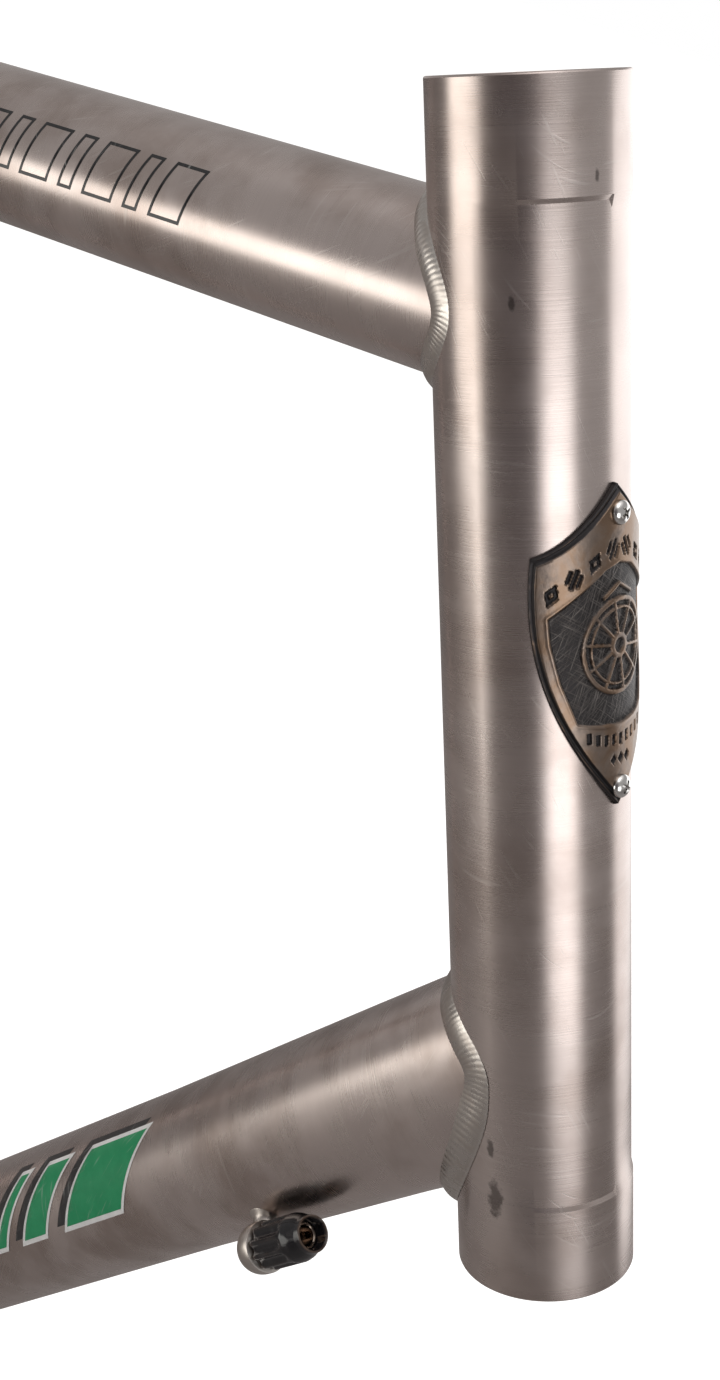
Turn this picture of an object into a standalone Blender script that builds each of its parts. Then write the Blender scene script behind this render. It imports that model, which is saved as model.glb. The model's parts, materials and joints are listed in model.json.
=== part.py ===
"""Welded titanium road bicycle frame, as separate tubes, plates, fittings and fasteners.

Metres. The origin is the centre of the bottom bracket, +X points to the front, +Y to the rider's left
and +Z up. The right-hand (chain) side is at -Y.
"""

import math

import bmesh
import bpy
from mathutils import Matrix, Vector
from mathutils.geometry import interpolate_bezier

# Overall geometry
HEAD_ANGLE = math.radians(73.5)  # steering axis above the horizontal
SEAT_ANGLE = math.radians(73.0)  # seat tube above the horizontal
FRONT_CENTRE = 0.5777  # bottom bracket forward to the front axle
FORK_LENGTH = 0.3790  # front axle to head tube along the steering axis, lower headset cup included
FORK_RAKE = 0.0450
BRACKET_DROP = 0.0700  # bottom bracket below the line of the axles
CHAINSTAY_LENGTH = 0.4200
AXLE_SPACING = 0.1300  # between the inner faces of the dropouts

# Head tube
HEAD_TUBE_LENGTH = 0.2473
HEAD_TUBE_OD = 0.0381
HEAD_TUBE_BORE = 0.0340
HEAD_RING_HEIGHT = 0.0215  # full-diameter ring at each end
HEAD_RING_STEP = 0.0009  # height of the slope between ring and relief
HEAD_RELIEF = 0.00028  # the middle is turned down by this radius
HEAD_RELIEF_SHIFT = 0.00027  # and its centre sits this far to the rear
TUBE_EDGE = 0.0004  # chamfer on machined rims

# Main tubes
TUBE_WALL = 0.0009
TOP_TUBE_OD = 0.0349
TOP_TUBE_BELOW_RIM = 0.04315  # head tube top to the top tube's axis
TOP_TUBE_SLOPE = math.radians(4.7)
DOWN_TUBE_OD = 0.0413
DOWN_TUBE_ABOVE_RIM = 0.04955  # head tube bottom to the down tube's axis
DOWN_TUBE_HEAD_SECTION = (0.0438, 0.0386)  # height and width where it meets the head tube
DOWN_TUBE_BRACKET_SECTION = (0.0360, 0.0450)  # height and width at the bottom bracket
DOWN_TUBE_HEAD_SWAGE = 0.130
DOWN_TUBE_BRACKET_SWAGE = 0.110
SEAT_TUBE_OD = 0.03175
SEAT_POST_BORE = 0.0272
SEAT_TUBE_ABOVE = 0.045  # seat tube past the top tube's axis
SEAT_SLEEVE_LENGTH = 0.110
SEAT_SLOT_WIDTH = 0.0025
SEAT_SLOT_DEPTH = 0.030
SEAT_SLOT_HOLE = 0.0050

# Bottom bracket
SHELL_WIDTH = 0.0680
SHELL_OD = 0.0400
SHELL_BORE = 0.0345

# Stays
CHAINSTAY_OD = 0.0222
CHAINSTAY_TIP_OD = 0.0160
CHAINSTAY_START_Y = 0.0235
CHAINSTAY_BEND_START = 0.12  # share of the stay's run where it begins to swing out
CHAINSTAY_BEND_END = 0.86
SEATSTAY_OD = 0.0140
SEATSTAY_START_Y = 0.0086
SEATSTAY_BELOW_TOP_TUBE = 0.012  # along the seat tube, below the top tube's axis
STAY_TO_AXLE = 0.030  # end of each stay from the axle
STAY_SLOT_DEPTH = 0.016  # overlap of the dropout in the slotted stay
BRAKE_BRIDGE_FROM_AXLE = 0.362  # along the seatstays
BRAKE_BRIDGE_OD = 0.0159
BRIDGE_BUSHING_OD = 0.0115
BRIDGE_BUSHING_BORE = 0.0064
BRIDGE_BUSHING_LENGTH = 0.0200
CHAINSTAY_BRIDGE_X = -0.058
CHAINSTAY_BRIDGE_OD = 0.0127

# Dropouts
DROPOUT_THICKNESS = 0.00635
AXLE_SLOT_WIDTH = 0.0100
DROPOUT_ARM_HALF = 0.0062
DROPOUT_LOW = -0.0150  # edges of the plate from the axle
DROPOUT_BACK = -0.0155
DROPOUT_FRONT = 0.0150
HANGER_HOLE = (-0.0070, -0.0280)  # from the axle, forward and up
HANGER_HOLE_OD = 0.0100
HANGER_RIM = 0.0092  # from the hole's centre to the edge

# Badge on the head tube
BADGE_THICKNESS = 0.0016
BADGE_TIP = 0.0739  # below the top of the head tube
BADGE_HEIGHT = 0.0643
BADGE_SHOULDER_DROP = 0.0127
BADGE_HALF_WIDTH = 0.0196  # round the tube, tip line to shoulder
BADGE_SCREW_INSET = (0.0056, 0.0041)  # from the upper and the lower tip
BADGE_SCREW_HEAD_OD = 0.0048
BADGE_SCREW_HEAD_HEIGHT = 0.0016
BADGE_SCREW_SHANK_OD = 0.0022
BADGE_SCREW_LENGTH = 0.0060
BADGE_SCREW_CROSS = 0.0006  # width of the cross's arms

# Cable adjusters on the down tube
ADJUSTER_FROM_HEAD = 0.0895  # head tube's axis to the joint of knob and boss, along the down tube
ADJUSTER_ANGLE = math.radians(48.0)  # from the down tube's underside, round towards each side
ADJUSTER_STAND_OFF = 0.0084  # surface of the tube to the cable's line
ADJUSTER_THREAD_OD = 0.0050
ADJUSTER_TRAVEL = 0.0040
KNOB_OD = 0.0114
KNOB_LENGTH = 0.0180
KNOB_MOUTH_OD = 0.0088
KNOB_SOCKET = 0.0068
KNOB_SOCKET_DEPTH = 0.0100
KNOB_SHOULDER = 0.0055  # mouth to the full diameter
KNOB_LIP = 0.0022  # straight rim of the mouth
KNOB_EDGE = 0.0005  # chamfer round the rear
BARREL_COLLAR_SEAT = 0.0025  # recess under the socket for the barrel's collar
BARREL_PAST_TRAVEL = 0.0009  # screw left in the boss when it is run right out
BOSS_BORE_PAST_TRAVEL = 0.0015
SEAT_CUP = (0.0065, 0.0010, 0.0007)  # height, floor and wall
BOSS_OD = 0.0124
BOSS_RIM = 0.0022  # straight rim before the dome
BOSS_FOOT = (0.0052, 0.0064)  # across and along the cable
BOSS_FOOT_INSET = 0.0008  # from the boss's front face
BOSS_WALL = 0.0012  # least metal between the thread and the foot's root
CABLE_HOLE = 0.0018

# Bottle mounts
BOTTLE_SPACING = 0.0640
BOTTLE_FROM_BRACKET = (0.2200, 0.2000)  # lower boss on the down tube and on the seat tube
BOTTLE_BOSS_OD = 0.0090
BOTTLE_BOSS_FLANGE_OD = 0.0120
BOTTLE_BOSS_PROUD = 0.0012
BOTTLE_BOSS_LENGTH = 0.0090
BOTTLE_BOLT_OD = 0.0050
BOTTLE_BOLT_HEAD_OD = 0.0085
BOTTLE_BOLT_HEAD_HEIGHT = 0.0032
BOTTLE_BOLT_SOCKET = 0.0034
BOTTLE_BOLT_PAST_BOSS = 0.0020

# Cable stops, guide and seat collar
STOP_OD = 0.0074
STOP_LENGTH = 0.0130
STOP_SOCKET = 0.0052
STOP_STAND_OFF = 0.0052
STOP_FOOT = (0.0036, 0.0080)
STOP_FOOT_INSET = (0.0004, 0.0012)  # from the socket's wall and from its mouth
TOP_TUBE_STOPS = (0.150, 0.470)  # from the head tube's axis
TOP_TUBE_STOP_ANGLE = math.radians(40.0)  # from the underside towards the left
CHAINSTAY_STOP_SHARE = 0.80
GUIDE_SIZE = (0.0220, 0.0260, 0.0050)
GUIDE_GROOVE = 0.0024
GUIDE_GROOVE_Y = 0.0060
GUIDE_SHOULDER = 0.0050  # how far its sides rise round the shell
GUIDE_SCREW_OD = 0.0044
GUIDE_SCREW_HEAD = (0.0072, 0.0022)
GUIDE_SCREW_SOCKET = 0.0026
COLLAR_HEIGHT = 0.0150
COLLAR_THICKNESS = 0.0034
COLLAR_LUG = (0.0105, 0.0140, 0.0115)  # depth behind the ring, width, height
COLLAR_GAP = 0.0030
COLLAR_LUG_ROOT = 0.0006  # overlap of the lug and the ring
COLLAR_BOLT_SOCKET = 0.0046
COLLAR_NUT_LENGTH = 0.0055
COLLAR_BOLT_OD = 0.0050
COLLAR_BOLT_HEAD = (0.0085, 0.0048)

# Making
GAP = 0.0003  # between neighbouring pieces
REACH = 0.02  # how far a cutter runs past what it cuts
FINE = 40  # sides of the big round pieces
MEDIUM = 24
SMALL = 16

# Derived places
LEFT = Vector((0, 1, 0))
SIDES = (("right", -1), ("left", 1))
HEAD_UP = Vector((-math.cos(HEAD_ANGLE), 0, math.sin(HEAD_ANGLE)))
HEAD_FRONT = Vector((math.sin(HEAD_ANGLE), 0, math.cos(HEAD_ANGLE)))
FRONT_AXLE = Vector((FRONT_CENTRE, 0, BRACKET_DROP))
HEAD_FOOT = FRONT_AXLE + FORK_LENGTH * HEAD_UP - FORK_RAKE * HEAD_FRONT
HEAD_TOP = HEAD_FOOT + HEAD_TUBE_LENGTH * HEAD_UP
SEAT_UP = Vector((-math.cos(SEAT_ANGLE), 0, math.sin(SEAT_ANGLE)))
SEAT_FRONT = Vector((math.sin(SEAT_ANGLE), 0, math.cos(SEAT_ANGLE)))
TOP_START = HEAD_TOP - TOP_TUBE_BELOW_RIM * HEAD_UP
TOP_BACK = Vector((-math.cos(TOP_TUBE_SLOPE), 0, -math.sin(TOP_TUBE_SLOPE)))
SEAT_AT_TOP_TUBE = TOP_START.dot(TOP_BACK.cross(LEFT)) / SEAT_UP.dot(TOP_BACK.cross(LEFT))
TOP_END = SEAT_AT_TOP_TUBE * SEAT_UP
SEAT_TUBE_LENGTH = SEAT_AT_TOP_TUBE + SEAT_TUBE_ABOVE
DOWN_START = HEAD_FOOT + DOWN_TUBE_ABOVE_RIM * HEAD_UP
DOWN_LENGTH = DOWN_START.length
DOWN_BACK = -DOWN_START.normalized()
REAR_AXLE = Vector((-math.sqrt(CHAINSTAY_LENGTH**2 - BRACKET_DROP**2), 0, BRACKET_DROP))
DROPOUT_Y = AXLE_SPACING / 2 + DROPOUT_THICKNESS / 2
SEATSTAY_TOP = (SEAT_AT_TOP_TUBE - SEATSTAY_BELOW_TOP_TUBE) * SEAT_UP
CHAINSTAY_AIM = -REAR_AXLE.normalized()
SEATSTAY_AIM = (SEATSTAY_TOP - REAR_AXLE).normalized()
BADGE_RADIUS = HEAD_TUBE_OD / 2 - HEAD_RELIEF + GAP  # inner face, about the relief's centre
BADGE_OUTSIDE = BADGE_RADIUS + BADGE_THICKNESS


# ---------------------------------------------------------------- helpers


def fresh_collection(name):
    collection = bpy.data.collections.new(name)
    bpy.context.scene.collection.children.link(collection)
    return collection


def clear_scene():
    for obj in list(bpy.data.objects):
        bpy.data.objects.remove(obj, do_unlink=True)


def metal(name, colour, roughness, metallic=1.0):
    made = bpy.data.materials.new(name)
    made.use_nodes = True
    shader = made.node_tree.nodes["Principled BSDF"]
    shader.inputs["Base Color"].default_value = (*colour, 1.0)
    shader.inputs["Roughness"].default_value = roughness
    shader.inputs["Metallic"].default_value = metallic
    return made


def titanium(name):
    return metal(name, (0.46, 0.43, 0.41), 0.32)


def axes(origin, along, side=LEFT):
    """A place whose local Z runs along one direction and whose local Y lies nearest to another."""
    z = Vector(along).normalized()
    x = Vector(side).cross(z).normalized()
    y = z.cross(x)
    place = Matrix((x, y, z)).transposed().to_4x4()
    place.translation = origin
    return place


def keep(obj, material, place=None):
    """Files a finished part under its name, with its own material."""
    PARTS.objects.link(obj)
    obj.data.materials.clear()
    obj.data.materials.append(material)
    if place is not None:
        obj.matrix_world = place
    if obj.type == "MESH":
        obj.data.shade_smooth()
        obj.data.set_sharp_from_angle(angle=math.radians(35))
    return obj


def as_cutter(obj, place=None):
    CUTTERS.objects.link(obj)
    obj.hide_render = True
    obj.display_type = "WIRE"
    if place is not None:
        obj.matrix_world = place
    return obj


def boolean(obj, other, operation="DIFFERENCE"):
    modifier = obj.modifiers.new(operation.lower() + "_" + other.name, "BOOLEAN")
    modifier.operation = operation
    modifier.solver = "EXACT"
    modifier.object = other


def frozen(obj):
    """Replaces a curve, or a mesh with modifiers, by the welded mesh that it makes."""
    bpy.context.scene.collection.objects.link(obj)
    depsgraph = bpy.context.evaluated_depsgraph_get()
    mesh = bpy.data.meshes.new_from_object(obj.evaluated_get(depsgraph))
    name = obj.name
    bpy.data.objects.remove(obj, do_unlink=True)
    shape = bmesh.new()
    shape.from_mesh(mesh)
    bmesh.ops.remove_doubles(shape, verts=shape.verts, dist=1e-6)
    shape.to_mesh(mesh)
    shape.free()
    return bpy.data.objects.new(name, mesh)


def turned(name, profile, steps, ring=True):
    """A lathe shape about local Z. The profile of (radius, height) runs down the outside first."""
    mesh = bpy.data.meshes.new(name)
    count = len(profile)
    last = count if ring else count - 1
    edges = [(i, (i + 1) % count) for i in range(last)]
    mesh.from_pydata([(r, 0, z) for r, z in profile], edges, [])
    obj = bpy.data.objects.new(name, mesh)
    screw = obj.modifiers.new("turn", "SCREW")
    screw.axis = "Z"
    screw.angle = math.tau
    screw.steps = steps
    screw.render_steps = steps
    screw.use_merge_vertices = True
    screw.merge_threshold = 1e-5
    return obj


def path_curve(name, points, radii, sides, capped):
    """A round tube surface along a list of points, with its own radius at each point."""
    curve = bpy.data.curves.new(name, "CURVE")
    curve.dimensions = "3D"
    curve.bevel_depth = max(radii)
    curve.bevel_resolution = (sides - 4) // 2
    curve.use_fill_caps = capped
    spline = curve.splines.new("POLY")
    spline.points.add(len(points) - 1)
    for place, point, radius in zip(spline.points, points, radii):
        place.co = (*point, 1)
        place.radius = radius / max(radii)
    return frozen(bpy.data.objects.new(name, curve))


def hollow(obj, wall):
    """Gives an open tube surface its wall, inwards."""
    shell = obj.modifiers.new("wall", "SOLIDIFY")
    shell.thickness = wall
    shell.offset = -1
    shell.use_even_offset = True
    return obj


def straight(name, stations, radius, sides, capped=False):
    """A straight tube surface along local Z, with a ring of points at each station."""
    points = [Vector((0, 0, z)) for z in stations]
    return path_curve(name, points, [radius] * len(stations), sides, capped)


def bar(name, place, radius, low, high, sides=MEDIUM):
    """A solid round cutter about a place's local Z."""
    mesh = bpy.data.meshes.new(name)
    shape = bmesh.new()
    centre = Matrix.Translation((0, 0, (low + high) / 2))
    bmesh.ops.create_cone(
        shape, cap_ends=True, segments=sides, radius1=radius, radius2=radius, depth=high - low, matrix=centre
    )
    shape.to_mesh(mesh)
    shape.free()
    return as_cutter(bpy.data.objects.new(name, mesh), place)


def block_mesh(name, size, centre=(0, 0, 0)):
    mesh = bpy.data.meshes.new(name)
    shape = bmesh.new()
    matrix = Matrix.Translation(centre) @ Matrix.Diagonal((*size, 1))
    bmesh.ops.create_cube(shape, size=1, matrix=matrix)
    shape.to_mesh(mesh)
    shape.free()
    return mesh


def block(name, place, size, centre=(0, 0, 0)):
    """A solid box cutter in a place's own axes."""
    return as_cutter(bpy.data.objects.new(name, block_mesh(name, size, centre)), place)


def quarter(steps):
    """Angles in equal steps from 0 to a right angle."""
    return [math.pi / 2 * k / steps for k in range(steps + 1)]


def rounded(corners, arc_steps=5):
    """An outline from (x, y, fillet radius) corners, with arcs at the corners that have a radius."""
    outline = []
    count = len(corners)
    for i, (x, y, radius) in enumerate(corners):
        here = Vector((x, y))
        if radius == 0:
            outline.append(here)
            continue
        before = (Vector(corners[i - 1][:2]) - here).normalized()
        after = (Vector(corners[(i + 1) % count][:2]) - here).normalized()
        half = before.angle(after) / 2
        centre = here + (before + after).normalized() * radius / math.sin(half)
        start = here + before * radius / math.tan(half) - centre
        end = here + after * radius / math.tan(half) - centre
        turn = start.angle_signed(end)
        for k in range(arc_steps + 1):
            angle = -turn * k / arc_steps
            outline.append(centre + Matrix.Rotation(angle, 2) @ start)
    return outline


def circle(centre, radius, steps):
    turns = (math.tau * k / steps for k in range(steps))
    return [Vector(centre) + radius * Vector((math.cos(a), math.sin(a))) for a in turns]


def plate(name, outlines, thickness):
    """A flat plate from closed outlines in local XY, the later ones being holes."""
    curve = bpy.data.curves.new(name, "CURVE")
    curve.dimensions = "2D"
    curve.fill_mode = "BOTH"
    curve.extrude = thickness / 2
    for outline in outlines:
        spline = curve.splines.new("POLY")
        spline.points.add(len(outline) - 1)
        for place, point in zip(spline.points, outline):
            place.co = (point.x, point.y, 0, 1)
        spline.use_cyclic_u = True
    return frozen(bpy.data.objects.new(name, curve))


# ---------------------------------------------------------------- shared cutters and places


def head_place():
    return axes(HEAD_FOOT, HEAD_UP)


def seat_place():
    return axes(Vector(), SEAT_UP)


def top_place():
    return axes(TOP_START, TOP_BACK)


def down_place():
    return axes(DOWN_START, DOWN_BACK)


def blend(start, end, share):
    return start + (end - start) * min(max(share, 0.0), 1.0)


def down_section(distance):
    """Half height and half width of the down tube at a distance from the head tube's axis."""
    middle = DOWN_TUBE_OD
    head_share = distance / DOWN_TUBE_HEAD_SWAGE
    bracket_share = (DOWN_LENGTH - distance) / DOWN_TUBE_BRACKET_SWAGE
    if head_share < 1:
        pair = [blend(size, middle, head_share) for size in DOWN_TUBE_HEAD_SECTION]
    else:
        pair = [blend(size, middle, bracket_share) for size in DOWN_TUBE_BRACKET_SECTION]
    return pair[0] / 2, pair[1] / 2


def down_shape(name, grow, capped):
    """The down tube's surface in its own axes: local X is up, local Y is left."""
    last_straight = DOWN_LENGTH - DOWN_TUBE_BRACKET_SWAGE
    stations = [0, DOWN_TUBE_HEAD_SWAGE, last_straight, DOWN_LENGTH]
    obj = straight(name, stations, 1.0, FINE, capped)
    for vertex in obj.data.vertices:
        half_height, half_width = down_section(vertex.co.z)
        vertex.co.x *= half_height + grow
        vertex.co.y *= half_width + grow
    return obj


def chainstay_point(side, share):
    """A point of a chainstay's centreline, from the bottom bracket at 0 to the axle's line at 1."""
    swing = (share - CHAINSTAY_BEND_START) / (CHAINSTAY_BEND_END - CHAINSTAY_BEND_START)
    swing = min(max(swing, 0.0), 1.0)
    ease = swing * swing * (3 - 2 * swing)
    y = CHAINSTAY_START_Y + (DROPOUT_Y - CHAINSTAY_START_Y) * ease
    return REAR_AXLE * share + side * y * LEFT


def chainstay_shape(name, side, grow, capped):
    end = 1 - STAY_TO_AXLE / CHAINSTAY_LENGTH
    stations = 14
    shares = [end * k / (stations - 1) for k in range(stations)]
    points = [chainstay_point(side, share) for share in shares]
    radii = [blend(CHAINSTAY_OD, CHAINSTAY_TIP_OD, 1.25 * share - 0.25) / 2 + grow for share in shares]
    return path_curve(name, points, radii, SMALL, capped)


def seatstay_ends(side):
    start = SEATSTAY_TOP + side * SEATSTAY_START_Y * LEFT
    mid_slot = REAR_AXLE + (STAY_TO_AXLE + STAY_SLOT_DEPTH / 2) * SEATSTAY_AIM + side * DROPOUT_Y * LEFT
    return start, mid_slot + STAY_SLOT_DEPTH / 2 * (mid_slot - start).normalized()


def make_cutters():
    """Solid copies of the big tubes, each grown by the gap, for mitring what meets them."""
    head_reach = HEAD_TUBE_LENGTH + REACH
    shell_place = axes(Vector(), LEFT, (0, 0, 1))
    cutters = {
        "head": bar("head_cut", head_place(), HEAD_TUBE_OD / 2 + GAP, -REACH, head_reach, FINE),
        "seat": bar("seat_cut", seat_place(), SEAT_TUBE_OD / 2 + GAP, 0, SEAT_TUBE_LENGTH, FINE),
        "top": bar("top_cut", top_place(), TOP_TUBE_OD / 2 + GAP, 0, (TOP_END - TOP_START).length, FINE),
        "shell": bar("shell_cut", shell_place, SHELL_OD / 2 + GAP, -SHELL_WIDTH, SHELL_WIDTH, FINE),
        "down": as_cutter(down_shape("down_cut", GAP, True), down_place()),
    }
    for word, side in SIDES:
        start, end = seatstay_ends(side)
        place = axes(start, end - start)
        length = (end - start).length
        cutters["seatstay_" + word] = bar("seatstay_cut_" + word, place, SEATSTAY_OD / 2 + GAP, 0, length)
        cutters["chainstay_" + word] = as_cutter(chainstay_shape("chainstay_cut_" + word, side, GAP, True))
    return cutters


# ---------------------------------------------------------------- tubes


def build_head_tube():
    radius, bore, height = HEAD_TUBE_OD / 2, HEAD_TUBE_BORE / 2, HEAD_TUBE_LENGTH
    relief = radius - HEAD_RELIEF
    edge = TUBE_EDGE
    ring, slope = HEAD_RING_HEIGHT, HEAD_RING_HEIGHT + HEAD_RING_STEP
    outside = [
        (radius - edge, height),
        (radius, height - edge),
        (radius, height - ring),
        (relief, height - slope),
        (relief, slope),
        (radius, ring),
        (radius, edge),
        (radius - edge, 0),
    ]
    inside = [(bore + edge, 0), (bore, edge), (bore, height - edge), (bore + edge, height)]
    tube = frozen(turned("head_tube", outside + inside, FINE))
    for vertex in tube.data.vertices:
        if slope - 1e-6 < vertex.co.z < height - slope + 1e-6 and vertex.co.xy.length > relief - 1e-6:
            vertex.co.x -= HEAD_RELIEF_SHIFT
    keep(tube, titanium("head_tube_titanium"), head_place())
    for word, height_here in badge_screw_heights():
        hole = BADGE_SCREW_SHANK_OD / 2 + GAP
        place = axes(HEAD_FOOT + height_here * HEAD_UP, HEAD_FRONT)
        boolean(tube, bar("head_hole_" + word, place, hole, bore - REACH / 4, radius + REACH, SMALL))


def build_top_tube():
    length = (TOP_END - TOP_START).length
    tube = hollow(straight("top_tube", [0, length], TOP_TUBE_OD / 2, FINE), TUBE_WALL)
    keep(tube, titanium("top_tube_titanium"), top_place())
    boolean(tube, CUT["head"])
    boolean(tube, CUT["seat"])


def build_down_tube():
    tube = hollow(down_shape("down_tube", 0, False), TUBE_WALL)
    keep(tube, titanium("down_tube_titanium"), down_place())
    for meets in ("head", "shell", "seat"):
        boolean(tube, CUT[meets])
    for name, place in bottle_places():
        if name.startswith("down"):
            boolean(tube, bottle_hole(name, place))


def build_seat_tube():
    radius, inside, bore = SEAT_TUBE_OD / 2, SEAT_TUBE_OD / 2 - TUBE_WALL, SEAT_POST_BORE / 2
    sleeve = SEAT_TUBE_LENGTH - SEAT_SLEEVE_LENGTH
    profile = [
        (radius, SEAT_TUBE_LENGTH),
        (radius, 0),
        (inside, 0),
        (inside, sleeve),
        (bore, sleeve + inside - bore),
        (bore, SEAT_TUBE_LENGTH),
    ]
    tube = keep(turned("seat_tube", profile, FINE), titanium("seat_tube_titanium"), seat_place())
    boolean(tube, CUT["shell"])
    slot_length = SEAT_SLOT_DEPTH + REACH
    slot_centre = (-radius, 0, SEAT_TUBE_LENGTH - SEAT_SLOT_DEPTH + slot_length / 2)
    boolean(tube, block("seat_slot", seat_place(), (radius, SEAT_SLOT_WIDTH, slot_length), slot_centre))
    slot_end = (SEAT_TUBE_LENGTH - SEAT_SLOT_DEPTH) * SEAT_UP
    hole_place = axes(slot_end, -SEAT_FRONT)
    boolean(tube, bar("seat_slot_end", hole_place, SEAT_SLOT_HOLE / 2, bore / 2, radius + REACH, SMALL))
    for name, place in bottle_places():
        if name.startswith("seat"):
            boolean(tube, bottle_hole(name, place))


def build_bottom_bracket_shell():
    radius, bore, half, edge = SHELL_OD / 2, SHELL_BORE / 2, SHELL_WIDTH / 2, TUBE_EDGE
    outside = [(radius - edge, half), (radius, half - edge), (radius, edge - half), (radius - edge, -half)]
    inside = [(bore + edge, -half), (bore, edge - half), (bore, half - edge), (bore + edge, half)]
    shell = turned("bottom_bracket_shell", outside + inside, FINE)
    keep(shell, titanium("shell_titanium"), axes(Vector(), LEFT, (0, 0, 1)))
    down = axes(Vector(), (0, 0, -1))
    boolean(shell, bar("guide_hole", down, GUIDE_SCREW_OD / 2 + GAP, bore / 2, radius + REACH, SMALL))


def stay_slot(word, side, end, aim):
    """The slot across the end of a stay that takes the dropout's plate."""
    width = DROPOUT_THICKNESS + 2 * GAP
    place = axes(end, aim)
    place.translation.y = side * DROPOUT_Y
    length = STAY_SLOT_DEPTH + REACH
    size = (2 * CHAINSTAY_OD, width, length)
    return block("slot_" + word, place, size, (0, 0, STAY_SLOT_DEPTH - length / 2))


def build_chainstays():
    for word, side in SIDES:
        stay = hollow(chainstay_shape("chainstay_" + word, side, 0, False), TUBE_WALL)
        keep(stay, titanium("chainstay_titanium_" + word))
        boolean(stay, CUT["shell"])
        end = REAR_AXLE + STAY_TO_AXLE * CHAINSTAY_AIM
        boolean(stay, stay_slot("chainstay_" + word, side, end, CHAINSTAY_AIM))


def build_seatstays():
    for word, side in SIDES:
        start, end = seatstay_ends(side)
        length = (end - start).length
        stay = hollow(straight("seatstay_" + word, [0, length], SEATSTAY_OD / 2, MEDIUM), TUBE_WALL)
        keep(stay, titanium("seatstay_titanium_" + word), axes(start, end - start))
        boolean(stay, CUT["seat"])
        foot = REAR_AXLE + STAY_TO_AXLE * SEATSTAY_AIM
        boolean(stay, stay_slot("seatstay_" + word, side, foot, SEATSTAY_AIM))


def dropout_outline(with_hanger):
    """Outline about the axle, local X forward and local Y up."""
    slot, arm = AXLE_SLOT_WIDTH / 2, DROPOUT_ARM_HALF
    tab = STAY_TO_AXLE + STAY_SLOT_DEPTH - 2 * GAP
    low, back, front = DROPOUT_LOW, DROPOUT_BACK, DROPOUT_FRONT
    low_arm = Vector((CHAINSTAY_AIM.x, CHAINSTAY_AIM.z))
    high_arm = Vector((SEATSTAY_AIM.x, SEATSTAY_AIM.z))
    above = Vector((-low_arm.y, low_arm.x))
    behind = Vector((-high_arm.y, high_arm.x))
    corners = [
        (slot, low, 0.002),
        (front, low, 0.004),
        (*(0.026 * low_arm - arm * above), 0.006),
        (*(tab * low_arm - arm * above), 0.003),
        (*(tab * low_arm + arm * above), 0.003),
        (*(0.021 * low_arm + 0.012 * high_arm), 0.010),
        (*(tab * high_arm - arm * behind), 0.003),
        (*(tab * high_arm + arm * behind), 0.003),
        (*(0.020 * high_arm + arm * behind), 0.012),
        (back, 0.001, 0.006),
    ]
    if with_hanger:
        hole, rim = Vector(HANGER_HOLE), HANGER_RIM
        corners += [
            (back - 0.0015, hole.y - rim, 0.008),
            (hole.x + rim, hole.y - rim, 0.006),
            (-slot, low, 0.002),
        ]
    else:
        corners += [(back, low, 0.004), (-slot, low, 0.002)]
    arch = [(-slot * math.cos(2 * a), slot * math.sin(2 * a), 0) for a in quarter(12)]
    return rounded(corners + arch)


def build_dropouts():
    for word, side in SIDES:
        outlines = [dropout_outline(side < 0)]
        if side < 0:
            outlines.append(circle(HANGER_HOLE, HANGER_HOLE_OD / 2, SMALL))
        part = plate("dropout_" + word, outlines, DROPOUT_THICKNESS)
        place = Matrix(((1, 0, 0), (0, 0, -1), (0, 1, 0))).to_4x4()
        place.translation = REAR_AXLE + side * DROPOUT_Y * LEFT
        keep(part, titanium("dropout_titanium_" + word), place)


# ---------------------------------------------------------------- bridges


def bridge_points():
    """Centre of the brake bridge, and the direction of its bolt."""
    centre = REAR_AXLE + BRAKE_BRIDGE_FROM_AXLE * SEATSTAY_AIM
    behind = SEATSTAY_AIM.cross(LEFT) * -1
    return centre, behind if behind.x < 0 else -behind


def build_brake_bridge():
    centre, behind = bridge_points()
    share = BRAKE_BRIDGE_FROM_AXLE / (SEATSTAY_TOP - REAR_AXLE).length
    half = blend(DROPOUT_Y, SEATSTAY_START_Y, share)
    place = axes(centre, LEFT, SEATSTAY_AIM)
    tube = hollow(straight("brake_bridge", [-half, half], BRAKE_BRIDGE_OD / 2, MEDIUM), TUBE_WALL)
    keep(tube, titanium("brake_bridge_titanium"), place)
    for word, _ in SIDES:
        boolean(tube, CUT["seatstay_" + word])
    across = axes(centre, behind)
    reach = BRAKE_BRIDGE_OD
    boolean(tube, bar("bridge_hole", across, BRIDGE_BUSHING_OD / 2 + GAP, -reach, reach, SMALL))
    outer, bore, end = BRIDGE_BUSHING_OD / 2, BRIDGE_BUSHING_BORE / 2, BRIDGE_BUSHING_LENGTH / 2
    profile = [(outer, end), (outer, -end), (bore, -end), (bore, end)]
    keep(turned("brake_bridge_bushing", profile, SMALL), titanium("bushing_titanium"), across)


def build_chainstay_bridge():
    share = CHAINSTAY_BRIDGE_X / REAR_AXLE.x
    centre = REAR_AXLE * share
    half = chainstay_point(1, share).y
    tube = hollow(straight("chainstay_bridge", [-half, half], CHAINSTAY_BRIDGE_OD / 2, MEDIUM), TUBE_WALL)
    keep(tube, titanium("chainstay_bridge_titanium"), axes(centre, LEFT, CHAINSTAY_AIM))
    for word, _ in SIDES:
        boolean(tube, CUT["chainstay_" + word])


# ---------------------------------------------------------------- badge


def badge_screw_heights():
    upper, lower = BADGE_SCREW_INSET
    tip = HEAD_TUBE_LENGTH - BADGE_TIP
    return (("upper", tip - upper), ("lower", tip - BADGE_HEIGHT + lower))


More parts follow.
